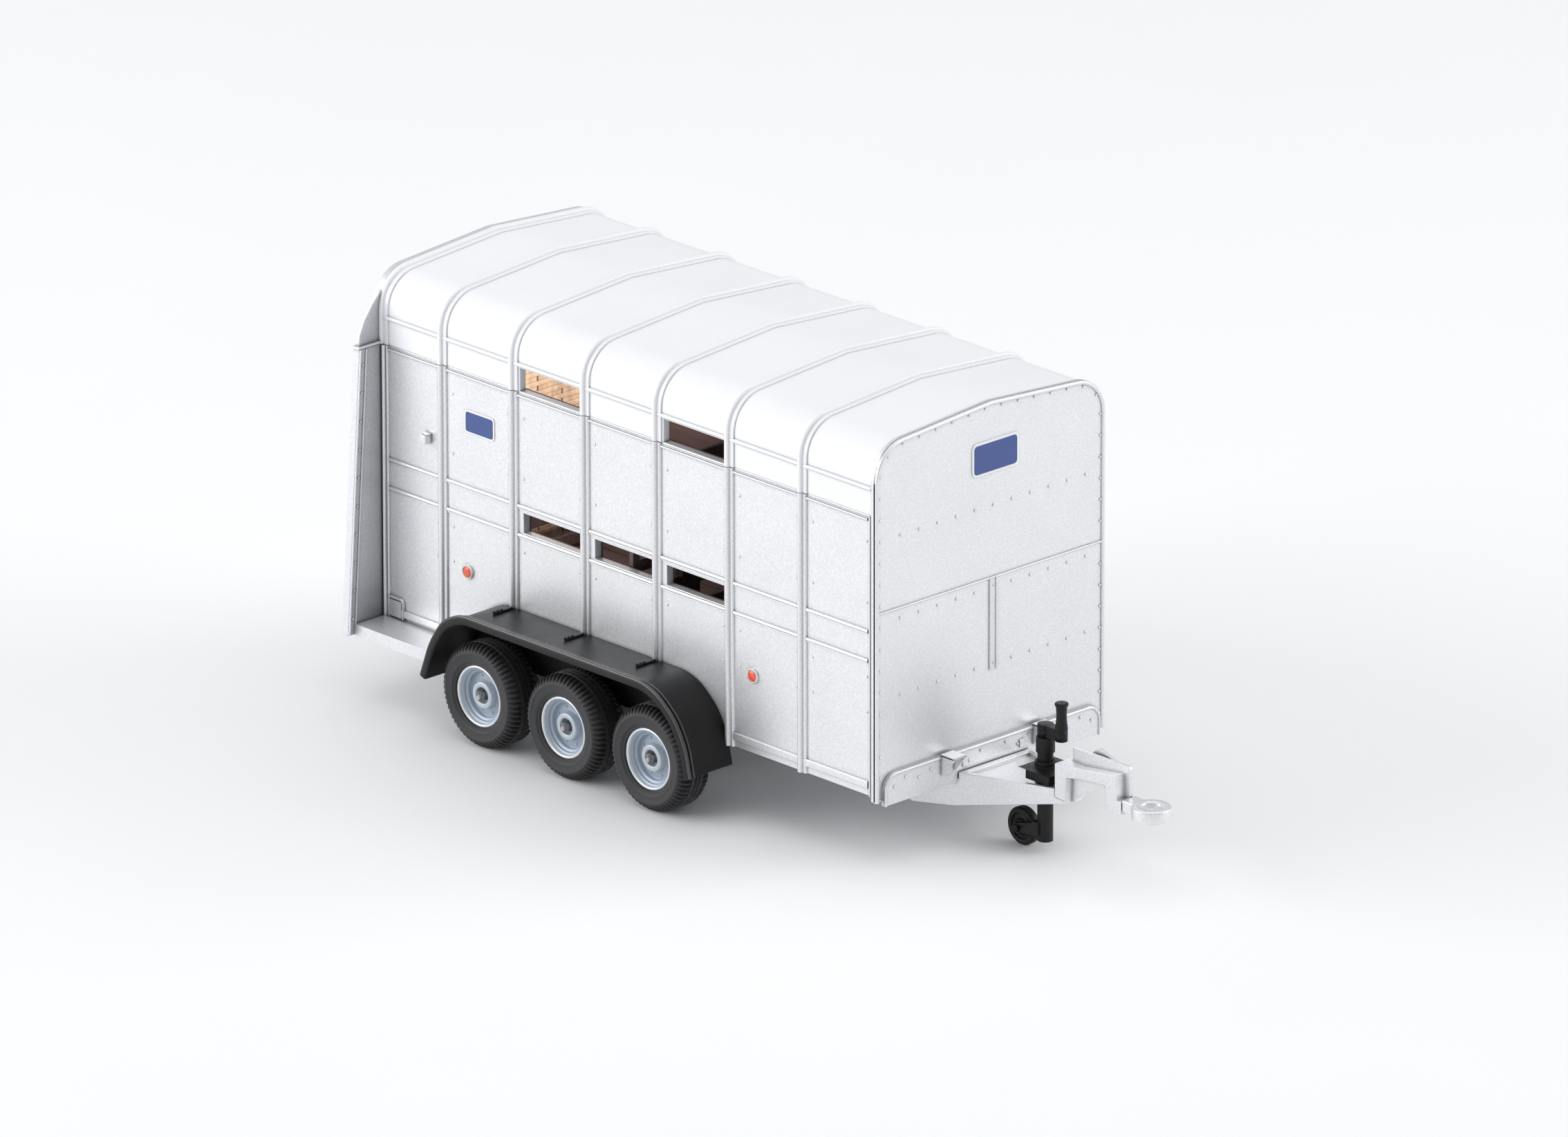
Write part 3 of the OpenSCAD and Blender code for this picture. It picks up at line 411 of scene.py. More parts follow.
for node, slot, width in (
    ("deck", "silver_body", 0.1), ("deck_boards", "brown_board", 0.08),
    ("chassis", "silver_body", 0.2), ("axle_bearings", "silver_body", 0.2),
    ("drawbar", "silver_body", 0.13),
    ("sill_left", "silver_body", 0.16), ("sill_right", "silver_body", 0.16),
    ("axle_1", "steel", 0.14), ("axle_2", "steel", 0.14), ("axle_3", "steel", 0.14),
    ("ramp", "silver_body", 0.14), ("ramp_boards", "tan_board", 0.1), ("ramp_pin", "steel", 0.08),
    ("gate_left", "brown_board", 0.12), ("gate_right", "brown_board", 0.12),
    ("gate_left_pin", "steel", 0.08), ("gate_right_pin", "steel", 0.08),
    ("partition", "brown_board", 0.12), ("partition_pin", "steel", 0.08),
    ("jockey_post", "black_plastic", 0.1),
    ("jockey_wheel", "black_plastic", 0.1), ("jockey_pin", "black_plastic", 0.08),
    ("crank", "black_plastic", 0.12), ("screws", "steel", 0.08),
    ("rear_lamps", "marker_red", 0.2),
):
    softened(node, slot, width)


def tapered_plate():
    """The jockey wheel's plate: a thin rim whose underside slopes in to a smaller foot."""
    low, high = mm_box("jockey_plate")
    middle, half = (low + high) / 2, (high - low) / 2
    bm = bmesh.new()
    bm.from_mesh(frame["nodes"]["jockey_plate"].data)
    bmesh.ops.remove_doubles(bm, verts=bm.verts, dist=1e-6)
    for height in (0.7, 1.3):
        bmesh.ops.bisect_plane(bm, geom=bm.verts[:] + bm.edges[:] + bm.faces[:],
                               plane_co=(0.0, 0.0, (high.z - height) * MM), plane_no=(0.0, 0.0, 1.0))
    for vert in bm.verts:
        at = vert.co / MM
        if at.z < high.z - 1.0:
            if abs(abs(at.x - middle.x) - half.x) < 0.6:
                vert.co.x -= math.copysign(1.0, at.x - middle.x) * MM
            if abs(abs(at.y - middle.y) - half.y) < 0.6:
                vert.co.y -= math.copysign(1.0, at.y - middle.y) * MM
    piece = bevel(new_object("jockey_plate_tapered", bm), 0.12, 2)
    place(piece, "trailer", "black_plastic", None, ["jockey_plate"])


tapered_plate()


# ---------------------------------------------------------------- roof


X, Y, Z = Vector((1, 0, 0)), Vector((0, 1, 0)), Vector((0, 0, 1))
SHOULDER = 6.9
SKIRT = 6.4
PITCH = math.radians(4.2)
WINDOW_TOP = 4.75
DRIP_HEIGHT = 5.05
ROOF_THICK = 1.5


def roof_line(ins, foot=JOINT, steps=10, ridge_steps=3):
    """Points (y, z) along the roof section from the left foot to the right one, drawn in by "ins" mm."""
    radius = SHOULDER - ins
    cy, cz = HALF - SHOULDER, JOINT + SKIRT
    points = [(HALF - ins, foot)]
    if foot == JOINT:
        points.append((HALF - ins, JOINT + WINDOW_TOP))
    points.append((HALF - ins, cz))
    for i in range(1, steps + 1):
        turn = (math.pi / 2 - PITCH) * i / steps
        points.append((cy + radius * math.cos(turn), cz + radius * math.sin(turn)))
    ty, tz = points[-1]
    ridge = tz + ty * math.tan(PITCH)
    for i in range(1, ridge_steps):
        share = i / ridge_steps
        points.append((ty * (1 - share), tz + (ridge - tz) * share))
    right = [(-y, z) for y, z in reversed(points)]
    return points + [(0.0, ridge)] + right


BEAD = [(-0.45, -0.1), (-0.45, 0.24), (-0.3, 0.4), (0.0, 0.46), (0.16, 0.38), (0.2, 0.12), (0.28, 0.1),
        (0.34, 0.2), (0.45, 0.2), (0.52, -0.1)]


def roof():
    """The white shell with its windows, and a drip bead over the skirt on each side."""
    outer, inner = roof_line(0.0), roof_line(ROOF_THICK)
    xs = [PORTAL_FRONT]
    for k in (4, 2):
        xs += [RIBS[k] + RIB_WIDTH / 2 + 0.4, RIBS[k - 1] - RIB_WIDTH / 2]
    xs.append(FRONT_LOW.x)
    last = len(outer) - 2
    bm = bmesh.new()
    sheet_with_holes(bm, len(xs) - 1, len(outer) - 1,
                     lambda i, j, side: Vector((xs[i], *(outer if side else inner)[j])),
                     [(i, j) for i in (1, 3) for j in (0, last)])
    shell = bevel(new_object("roof_shell", bm), 0.12, 3)
    place(shell, "trailer", "roof_white", None, ["roof"])
    bm = bmesh.new()
    for side in (-1, 1):
        drip = [(b, a) for a, b in BEAD]
        start = Vector((xs[0], side * (HALF - SINK), JOINT + DRIP_HEIGHT))
        extrude(bm, drip, Y * side, -Z, start, X * (xs[-1] - xs[0]))
    place(new_object("roof_drip_beads", bm, 60.0), "trailer", "roof_white")


def hoop_section(x, width=RIB_WIDTH):
    """A hoop's rounded ridge with a low flange on its front side, as (x, lift) points."""
    h = width / 2
    return [(x + dx * h, lift) for dx, lift in (
        (-1.0, -0.1), (-1.0, 0.3), (-0.93, 0.42), (-0.88, 0.62), (-0.7, 0.8), (-0.42, 0.88), (-0.12, 0.82),
        (0.05, 0.62), (0.1, 0.4), (0.16, 0.32), (0.86, 0.3), (0.98, 0.2), (1.0, -0.1))]


def hoops():
    for name, spots, width, replaced in (("roof_hoops_ridged", RIBS, RIB_WIDTH, ["roof_hoops"]),
                                         ("roof_end_hoop", [PORTAL_FRONT + 0.2], 2.4, [])):
        bm = bmesh.new()
        for x in spots:
            section = hoop_section(x, width)
            lines = [roof_line(-lift) for _, lift in section]
            sweep(bm, lines[0], lambda i: [Vector((sx, *line[i])) for (sx, _), line in zip(section, lines)])
        place(weighted(new_object(name, bm, 60.0)), "trailer", "roof_white", None, replaced)


PORTAL_FRONT = mm_box("rear_portal")[1].x - 0.22
roof()
hoops()


# ---------------------------------------------------------------- side panels


RAILS = (39.3, 44.9)
SLOT = (39.9, 43.7)
FOOT = SIDE_LOW.z
SILL_END = mm_box("sill_right")[1].x
SILL_TOP = 14.4
BAND_FOOT = 14.95
GUARD_TOP = 24.9
WALL = 1.7
LINING_GAP, LINING_BACK = 0.02, 0.28


def rib_foot(x):
    """Where a rib at x ends: on the sill, on the mudguard's top or at the panel's foot."""
    if x < SILL_END:
        return SILL_TOP
    return GUARD_TOP if AXLES[2][0] - 3.0 < x < AXLES[0][0] + 0.4 else FOOT


RIB_SECTION = [(-1.1, -0.1), (-1.1, 0.4), (-1.02, 0.56), (-0.86, 0.78), (-0.55, 0.9), (-0.24, 0.86),
               (0.0, 0.68), (0.1, 0.42), (0.18, 0.3), (0.3, 0.3), (0.38, 0.42), (0.6, 0.5), (0.82, 0.44),
               (0.96, 0.3), (1.02, 0.12), (1.1, -0.1)]


def side_panel(side, word):
    """A side wall with its slots, ribs, rails, bottom band and corner plate."""
    xs, holes = [PORTAL_FRONT], []
    for k in (4, 3, 2):
        holes.append(len(xs))
        xs += [RIBS[k] + RIB_WIDTH / 2 + 1.1, RIBS[k - 1] - RIB_WIDTH / 2]
    xs.append(FRONT_LOW.x)
    zs = [FOOT, SLOT[0], SLOT[1], JOINT]
    depth = {0: HALF - WALL, 1: HALF}
    bm = bmesh.new()
    sheet_with_holes(bm, len(xs) - 1, 3, lambda i, j, face: Vector((xs[i], side * depth[face], zs[j])),
                     [(i, 1) for i in holes])
    wall = bevel(new_object(f"side_{word}_wall", bm), 0.14, 3)
    place(wall, "trailer", "silver_body", None, [f"side_{word}"])
    inside = {0: HALF - WALL - LINING_BACK, 1: HALF - WALL - LINING_GAP}
    lined = [DECK_TOP + 0.3, *zs[1:]]
    bm = bmesh.new()
    starts = [xs[0] + 2.6, *xs[1:]]
    sheet_with_holes(bm, len(xs) - 1, 3,
                     lambda i, j, face: Vector((starts[i], side * inside[face], lined[j])),
                     [(i, 1) for i in holes])
    place(new_object(f"side_{word}_lining", bm), "trailer", "brown_board")
    face = side * (HALF - SINK)
    bm = bmesh.new()
    for x in RIBS:
        foot = rib_foot(x)
        extrude(bm, RIB_SECTION, X, Y * side, Vector((x, face, foot)), Z * (JOINT - 0.12 - foot))
    narrow = [(a * 0.68, b) for a, b in RIB_SECTION]
    extrude(bm, narrow, X, Y * side, Vector((PORTAL_FRONT + 0.75, face, SILL_TOP)),
            Z * (JOINT - 0.12 - SILL_TOP))
    edge = [(a * 0.8, b * 0.8) for a, b in BEAD]
    extrude(bm, edge, X, Y * side, Vector((FRONT_LOW.x - 0.38, face, FOOT)), Z * (JOINT - 0.12 - FOOT))
    for x0, x1 in zip([PORTAL_FRONT + 1.4] + [x + 1.05 for x in reversed(RIBS)],
                      [x - 1.05 for x in reversed(RIBS)] + [FRONT_LOW.x - 0.9]):
        for z in RAILS:
            extrude(bm, BEAD, -Z, Y * side, Vector((x0, face, z)), X * (x1 - x0))
        extrude(bm, [(a * 0.75, b * 1.1) for a, b in BEAD], Z, Y * side, Vector((x0, face, JOINT - 0.72)),
                X * (x1 - x0))
    place(weighted(new_object(f"side_{word}_ribs", bm, 60.0)), "trailer", "silver_body")
    bm = bmesh.new()
    band = [(0.0, -0.1), (0.0, 0.28), (0.14, 0.4), (1.3, 0.4), (1.44, 0.3), (1.5, -0.1)]
    ends = [(PORTAL_FRONT + 1.4, SILL_END), (AXLES[0][0] + 12.6, FRONT_LOW.x - 0.9)]
    for x0, x1 in ends:
        extrude(bm, band, Z, Y * side, Vector((x0, face, BAND_FOOT)), X * (x1 - x0))
    place(weighted(new_object(f"side_{word}_band", bm, 60.0)), "trailer", "silver_body")
    outline = rounded_corner(PORTAL_FRONT + 1.4, PORTAL_FRONT + 5.3, 14.6, 18.6)
    bm = bmesh.new()
    lip = ((0.0, -0.1), (0.0, 0.42), (0.12, 0.6), (0.36, 0.6), (0.5, 0.42), (0.5, -0.1))

    def section(i):
        x, z, inward_x, inward_z = outline[i]
        return [Vector((x + inward_x * t, face + side * lift, z + inward_z * t)) for t, lift in lip]

    sweep(bm, outline, section)
    near, far = sorted((face, face + side * 0.44))
    block(bm, (PORTAL_FRONT + 1.3, near, 14.7), (PORTAL_FRONT + 4.6, far, 17.9))
    place(weighted(new_object(f"side_{word}_corner_plate", bm, 50.0)), "trailer", "silver_body")


def rounded_corner(x0, x1, z0, z1, radius=0.9):
    """A path (x, z, inward x, inward z) along the top and front edge of a plate, round its corner."""
    points = [(x0, z1, 0.0, -1.0)]
    for i in range(7):
        turn = math.pi / 2 * i / 6
        points.append((x1 - radius + radius * math.sin(turn), z1 - radius + radius * math.cos(turn),
                       -math.sin(turn), -math.cos(turn)))
    return points + [(x1, z0, -1.0, 0.0)]


side_panel(-1, "right")
side_panel(1, "left")


# ---------------------------------------------------------------- front panel


SEAM = 48.7
LIP = 0.35
STRIP_FOOT = 31.1
STRIPS = (0.02, 1.52)
RIVET_PITCH = 4.63
EDGE_RIVET_PITCH = 4.1


def front():
    face, foot = X_FRONT, FRONT_LOW.z
    outline = roof_line(-LIP, foot)
    bm = bmesh.new()
    rings = [[bm.verts.new(Vector((x, *p)) * MM) for p in outline] for x in (FRONT_LOW.x, face)]
    for i in range(len(outline)):
        k = (i + 1) % len(outline)
        bm.faces.new((rings[0][i], rings[0][k], rings[1][k], rings[1][i]))
    bm.faces.new(list(reversed(rings[0])))
    bm.faces.new(rings[1])
    plate = bevel(new_object("front_panel_plate", bm), 0.14, 3)
    place(plate, "trailer", "silver_body", None, ["front_panel"])
    bm = bmesh.new()
    lip = [(t - LIP, lift) for t, lift in ((0.0, -0.5), (0.0, 0.12), (0.12, 0.3), (0.34, 0.38), (0.6, 0.34),
                                           (0.78, 0.2), (0.84, 0.04), (0.84, -0.5))]
    lines = [roof_line(ins, foot) for ins, _ in lip]
    sweep(bm, lines[0], lambda i: [Vector((face + dx, *line[i])) for (_, dx), line in zip(lip, lines)])
    thin = [(a * 0.62, b * 0.6) for a, b in BEAD]
    extrude(bm, thin, Z, X, Vector((face - SINK, -HALF, SEAM)), Y * (2 * HALF))
    rise = Z * (SEAM - STRIP_FOOT)
    for y in STRIPS:
        extrude(bm, [(a * 0.8, b * 0.9) for a, b in BEAD], Y, X, Vector((face - SINK, y, STRIP_FOOT)), rise)
    extrude(bm, [(0.0, -0.1), (0.0, 0.12), (1.5, 0.12), (1.5, -0.1)], Y, X,
            Vector((face - SINK, STRIPS[0], STRIP_FOOT)), rise)
    place(weighted(new_object("front_lip_and_strips", bm, 60.0)), "trailer", "silver_body")
    bm = bmesh.new()
    spots = []
    for j in range(-5, 6):
        y = RIVET_PITCH * j + 0.73
        lower = [(y, SEAM - 2.0), (y, STRIP_FOOT + 1.0)] if j else [(0.77, SEAM - 1.6), (0.77, STRIP_FOOT + 1.2)]
        spots += [(y, JOINT - 4.7)] + lower
    border = roof_line(0.75, foot)
    left = 3.0
    for a, b in zip(border, border[1:]):
        a, b = Vector(a), Vector(b)
        length = (b - a).length
        while left < length:
            spot = a.lerp(b, left / length)
            spots.append((spot.x, spot.y))
            left += EDGE_RIVET_PITCH
        left -= length
    for y, z in spots:
        dome(bm, Vector((face, y, z)) * MM, X, *RIVET)
    place(new_object("front_rivets", bm), "trailer", "silver_body")


front()


# ---------------------------------------------------------------- rear portal


WING_THICK = 1.75
WING_RIVET_PITCH = 5.4


def prism(bm, points, x0, x1):
    extrude(bm, points, Y, Z, Vector((x0, 0, 0)), X * (x1 - x0))


def portal():
    """The doorway frame: header, two posts that widen into wings, sill, hinge knuckles and wing trims."""
    low, high = mm_box("rear_portal")
    back, front_face = mm_box("rear_lamps")[1].x, PORTAL_FRONT
    foot, wing_foot = low.z, FRONT_LOW.z - 0.4
    out_low, out_high = high.y, HALF + 6.0
    jamb, head, joint = HALF - 2.45, JOINT - 5.6, JOINT + 0.15
    arch = [p for p in roof_line(-0.45) if p[1] > joint]
    wing_back = front_face - WING_THICK
    bm = bmesh.new()
    prism(bm, [(jamb, joint), (jamb, head), (-jamb, head), (-jamb, joint)] + list(reversed(arch)),
          back, front_face)
    prism(bm, [(-jamb, foot), (jamb, foot), (jamb, DECK_TOP), (-jamb, DECK_TOP)], back, front_face)
    for side in (-1, 1):
        prism(bm, [(side * jamb, foot), (side * (HALF + 0.2), foot), (side * (HALF + 0.2), joint),
                   (side * jamb, joint)], back, front_face)
        prism(bm, [(side * (HALF + 0.1), wing_foot), (side * out_low, wing_foot), (side * out_high, joint),
                   (side * (HALF + 0.1), joint)], wing_back, front_face)
        prism(bm, [(side * (HALF + 0.9), joint + 0.12), (side * (out_high - 0.25), joint + 0.12),
                   (side * (out_high - 0.45), joint + 2.4), (side * (HALF + 4.4), joint + 4.9),
                   (side * (HALF + 2.4), joint + 7.6), (side * (HALF + 0.2), joint + 10.0),
                   (side * (HALF - 1.6), joint + 9.4)], wing_back + 0.5, front_face - 0.35)
    frame_piece = bevel(new_object("rear_portal_frame", bm), 0.22, 3)
    # painted shade: the doorway frame and wings take the darker, shaded copy of the silver paint
    place(frame_piece, "trailer", "silver_body", SILVER_PAINTED_SHADE, ["rear_portal"])
    bm = bmesh.new()
    slope = (out_low - out_high) / (joint - wing_foot)
    for side in (-1, 1):
        for off, wide, proud in ((1.5, 0.34, 0.22), (0.1, 0.3, 0.3)):
            a = [(side * (out_low - off), wing_foot + 0.2), (side * (out_low - off - wide), wing_foot + 0.2),
                 (side * (out_low - off - wide - slope * (joint - wing_foot - 0.3)), joint - 0.1),
                 (side * (out_low - off - slope * (joint - wing_foot - 0.3)), joint - 0.1)]
            prism(bm, a, front_face - 0.1, front_face + proud)
        ledge = [(side * (HALF + 0.9), joint + 0.04), (side * (out_high + 0.45), joint + 0.04),
                 (side * (out_high + 0.4), joint + 0.42), (side * (HALF + 0.9), joint + 0.5)]
        prism(bm, ledge, wing_back + 0.1, front_face + 0.25)
    place(bevel(new_object("wing_trims", bm), 0.09, 2), "trailer", "silver_body")
    bm = bmesh.new()
    for side in (-1, 1):
        z = wing_foot + 3.2
        while z < joint - 2:
            y = out_low - 0.95 - slope * (z - wing_foot)
            dome(bm, Vector((front_face, side * y, z)) * MM, X, *RIVET)
            z += WING_RIVET_PITCH
    place(new_object("wing_rivets", bm), "trailer", "silver_body")
    pin_low, pin_high = mm_box("ramp_pin")
    centre = (pin_low + pin_high) / 2
    step = (jamb - 3.8) / 3
    bm = bmesh.new()
    for y in (-3 * step, -step, step, 3 * step):
        lathe(bm, [(0.45, -2.0), (0.74, -2.0), (0.85, -1.89), (0.85, 1.89), (0.74, 2.0), (0.45, 2.0)],
              Vector((centre.x, y, centre.z)) * MM, 1, 32)
        block(bm, (centre.x + 0.5, y - 1.9, centre.z - 0.7), (back + 0.2, y + 1.9, centre.z + 0.7))
    place(weighted(new_object("portal_knuckles", bm, 40.0)), "trailer", "silver_body")


portal()


# ---------------------------------------------------------------- ramp lining


def battens():
    """Anti-slip battens across the ramp's inner side, over its boards."""
    low, high = mm_box("ramp_boards")
    bm = bmesh.new()
    z = low.z + 1.2
    while z < high.z - 1.0:
        block(bm, (high.x - 0.05, low.y + 0.4, z), (high.x + 0.3, high.y - 0.4, z + 0.95))
        z += 1.95
    place(bevel(new_object("ramp_battens", bm), 0.14, 2), "ramp", "tan_board")


battens()


# ---------------------------------------------------------------- drawbar end


FLANGE_TOP = 17.9
GUSSET_Y, GUSSET_HALF, GUSSET_DEEP = 11.5, 1.6, 3.2
FLANGE_RIVETS = ((3.1, 16.6), (6.1, 15.4), (9.0, 16.6), (15.6, 16.2), (18.6, 15.4), (21.9, 16.4), (24.7, 15.2))


def flange():
    """The lower front flange: rounded top corners, a raised edge, rivets and two gusset brackets."""
    low, high = mm_box("front_flange")
    half, foot, top, corner = high.y, low.z, FLANGE_TOP, 3.0
    face = X_FRONT + 0.8
    arc = [(half - corner + corner * math.cos(turn), top - corner + corner * math.sin(turn))
           for turn in (math.radians(9 * i) for i in range(11))]
    edge = [(half, foot)] + arc + [(-y, z) for y, z in reversed(arc)] + [(-half, foot)]
    bm = bmesh.new()
    prism(bm, edge, X_FRONT - 0.1, face)
    plate = bevel(new_object("front_flange_plate", bm), 0.12, 3)
    place(plate, "trailer", "silver_body", None, ["front_flange"])
    inward = []
    for i, (y, z) in enumerate(edge):
        before, after = Vector(edge[max(i - 1, 0)]), Vector(edge[min(i + 1, len(edge) - 1)])
        along = (after - before).normalized()
        inward.append((-along.y, along.x))
    raised = ((0.0, -0.3), (0.0, 0.1), (0.14, 0.24), (0.4, 0.24), (0.54, 0.06), (0.54, -0.3))

    def section(i):
        (y, z), (inward_y, inward_z) = edge[i], inward[i]
        return [Vector((face + dx, y + inward_y * t, z + inward_z * t)) for t, dx in raised]

    bm = bmesh.new()
    sweep(bm, edge, section)
    place(weighted(new_object("front_flange_edge", bm, 60.0)), "trailer", "silver_body")
    bm = bmesh.new()
    for side in (-1, 1):
        for y, z in FLANGE_RIVETS:
            dome(bm, Vector((face, side * y, z)) * MM, X, 0.33, 0.3)
    place(new_object("front_flange_rivets", bm), "trailer", "silver_body")
    bm = bmesh.new()
    foot, top, deep = 14.4, FLANGE_TOP + 0.4, face + GUSSET_DEEP
    for side in (-1, 1):
        y = side * GUSSET_Y
        block(bm, (face - 0.1, y - GUSSET_HALF, foot), (face + 0.5, y + GUSSET_HALF, top))
        block(bm, (face - 0.1, y - GUSSET_HALF, FLANGE_TOP), (deep, y + GUSSET_HALF, top + 0.05))
        for dy in (-GUSSET_HALF, GUSSET_HALF - 0.4):
            extrude(bm, [(face + 0.3, foot), (deep, 17.6), (deep, top), (face + 0.3, top)], X, Z,
                    Vector((0, y + dy, 0)), Y * 0.4)
        tab = y - side * 4.4
        block(bm, (face - 0.1, tab - 0.6, 14.6), (face + 0.25, tab + 0.6, 16.2))
    place(bevel(new_object("front_gussets", bm), 0.09, 2), "trailer", "silver_body")


def eye():
    """The coupling ring with rounded edges, and the link to the swan neck."""
    low, high = mm_box("coupling_eye")
    r = (high.y - low.y) / 2
    spot = Vector((high.x - r, 0, (low.z + high.z) / 2))
    hole, half = 1.93, (high.z - low.z) / 2
    profile = [(hole, -half + 0.25), (hole + 0.2, -half), (r - 0.3, -half), (r, -half + 0.3), (r, half - 0.3),
               (r - 0.3, half), (hole + 0.2, half), (hole, half - 0.25)]
    bm = bmesh.new()
    lathe(bm, profile, spot * MM, 1, 64, upright=True)
    place(weighted(new_object("coupling_ring", bm, 60.0)), "trailer", "silver_body", None, ["coupling_eye"])
    bm = bmesh.new()
    block(bm, (low.x, -1.7, low.z + 0.02), (spot.x - 2.6, 1.7, high.z - 0.02))
    place(bevel(new_object("coupling_link", bm), 0.3, 3), "trailer", "silver_body")


def grip():
    """The crank's handle, waisted, with a flared cap."""
    low, high = mm_box("crank_grip")
    middle, r, length = (low + high) / 2, (high.x - low.x) / 2, high.z - low.z
    profile = [(0.64, 0.0), (r, 0.0), (r + 0.05, 0.15), (r, 0.4), (r - 0.16, length * 0.35),
               (r - 0.2, length * 0.6), (r - 0.1, length * 0.84), (r, length - 0.62), (r + 0.1, length - 0.5),
               (r + 0.12, length - 0.22), (r, length - 0.04), (r - 0.3, length), (0.2, length),
               (0.2, length - 0.4), (0.64, length - 0.4)]
    bm = bmesh.new()
    lathe(bm, profile, Vector((middle.x, middle.y, low.z)) * MM, 1, 40, upright=True)
    place(new_object("crank_grip_waisted", bm, 50.0), "crank", "black_plastic", None, ["crank_grip"])


flange()
eye()
grip()


# ---------------------------------------------------------------- wheels


def tyre(name, x, z, side, body, node):
    low, high = mm_box(node)
    outer = max(abs(low.y), abs(high.y))
    width = 7.6
    middle = outer - width / 2
    rim, r, half = 5.9, (high.z - low.z) / 2, width / 2
    profile = [(rim, -half + 0.7), (rim + 0.5, -half + 0.2), (rim + 1.4, -half), (r - 1.5, -half + 0.05),
               (r - 0.95, -half + 0.3), (r - 0.42, -half + 0.75), (r - 0.05, -half + 1.35)]
    tread = [(r, -1.75), (r - 0.3, -1.68), (r - 0.3, -1.45), (r, -1.38), (r, -0.62), (r - 0.3, -0.55),
             (r - 0.3, -0.3), (r, -0.24), (r, 0.24), (r - 0.3, 0.3), (r - 0.3, 0.55), (r, 0.62),
             (r, 1.38), (r - 0.3, 1.45), (r - 0.3, 1.68), (r, 1.75)]
    outer_side = [(r - 0.05, half - 1.35), (r - 0.42, half - 0.75), (r - 0.95, half - 0.3),
                  (r - 1.5, half - 0.05), (r - 1.75, half), (r - 1.85, half - 0.06),
                  (rim + 1.1, half - 0.02), (rim + 0.62, half - 0.14), (rim + 0.5, half - 0.3),
                  (rim + 0.2, half - 0.36), (rim, half - 0.7)]
    points = profile + tread + outer_side
    last = len(profile) + len(tread)
    shoulders = {4: 0.4, 5: 0.62, 6: 0.62, 7: 0.5,
                 last - 1: 0.5, last: 0.62, last + 1: 0.62, last + 2: 0.4}
    inner_tread = range(len(profile), len(profile) + len(tread))

    def wobble(i, j):
        if i in shoulders:
            return -shoulders[i] if j % 4 < 2 else 0.0
        if i in inner_tread:
            return -0.16 if j % 8 == (i * 3) % 8 else 0.0
        return 0.0

    bm = bmesh.new()
    lathe(bm, points, Vector((x, side * middle, z)) * MM, side, 240, wobble)
    return place(new_object(name, bm, 40.0), body, "tyre_rubber", None, [node])


def rim(name, x, z, side, body, node):
    low, high = mm_box(node)
    r = (high.z - low.z) / 2
    outer = max(abs(low.y), abs(high.y))
    middle = outer - 3.2
    lip = [(r, 2.4), (r, 3.0), (r - 0.1, 3.15), (r - 0.28, 3.2), (r - 0.46, 3.15), (r - 0.56, 3.0),
           (r - 0.6, 2.75), (r - 0.6, 2.4)]
    disc = [(r - 0.02, -3.0), (r - 0.02, 2.5), (r - 0.5, 2.5), (r - 0.62, 2.42), (r - 0.9, 2.36),
            (r - 0.98, 2.28), (r - 1.02, 1.95), (r - 1.1, 1.88), (r - 1.42, 1.82), (r - 1.5, 1.74),
            (r - 1.56, 1.1), (r - 1.7, 0.98), (2.72, 1.12), (2.66, 1.2), (2.6, 1.2), (1.5, 1.2), (1.16, 1.2),
            (1.16, -2.6), (2.2, -2.6), (2.4, 0.2), (r - 0.9, 0.2), (r - 0.9, -3.0)]
    hub = [(2.62, 1.1), (2.58, 2.2), (2.5, 2.36), (2.36, 2.44),
           (1.72, 2.44), (1.58, 2.36), (1.52, 2.2), (1.5, 1.1)]
    centre = Vector((x, side * middle, z)) * MM
    bm = bmesh.new()
    lathe(bm, disc, centre, side, 96)
    for j in range(8):
        turn = 2 * math.pi * (j + 0.5) / 8
        place_at = centre + Vector((3.55 * math.cos(turn), side * 1.07, 3.55 * math.sin(turn))) * MM
        dome(bm, place_at, (0, side, 0), 0.26, 0.2)
    place(new_object(name, bm, 40.0), body, "rim_plastic", None, [node])
    bm = bmesh.new()
    lathe(bm, lip, centre, side, 96)
    place(new_object(name + "_lip", bm, 50.0), body, "rim_plastic", PALE_RIM)
    bm = bmesh.new()
    lathe(bm, hub, centre, side, 64)
    place(weighted(new_object(name + "_hub", bm, 60.0)), body, "rim_plastic", HUB_GREY)


for number, (x, z) in enumerate(AXLES, 1):
    for side, word in ((-1, "right"), (1, "left")):
        tyre(f"tyre_{number}_{word}", x, z, side, f"wheels_{number}", f"tyres_{number}")
        rim(f"rim_{number}_{word}", x, z, side, f"wheels_{number}", f"rims_{number}")


# ---------------------------------------------------------------- mudguards


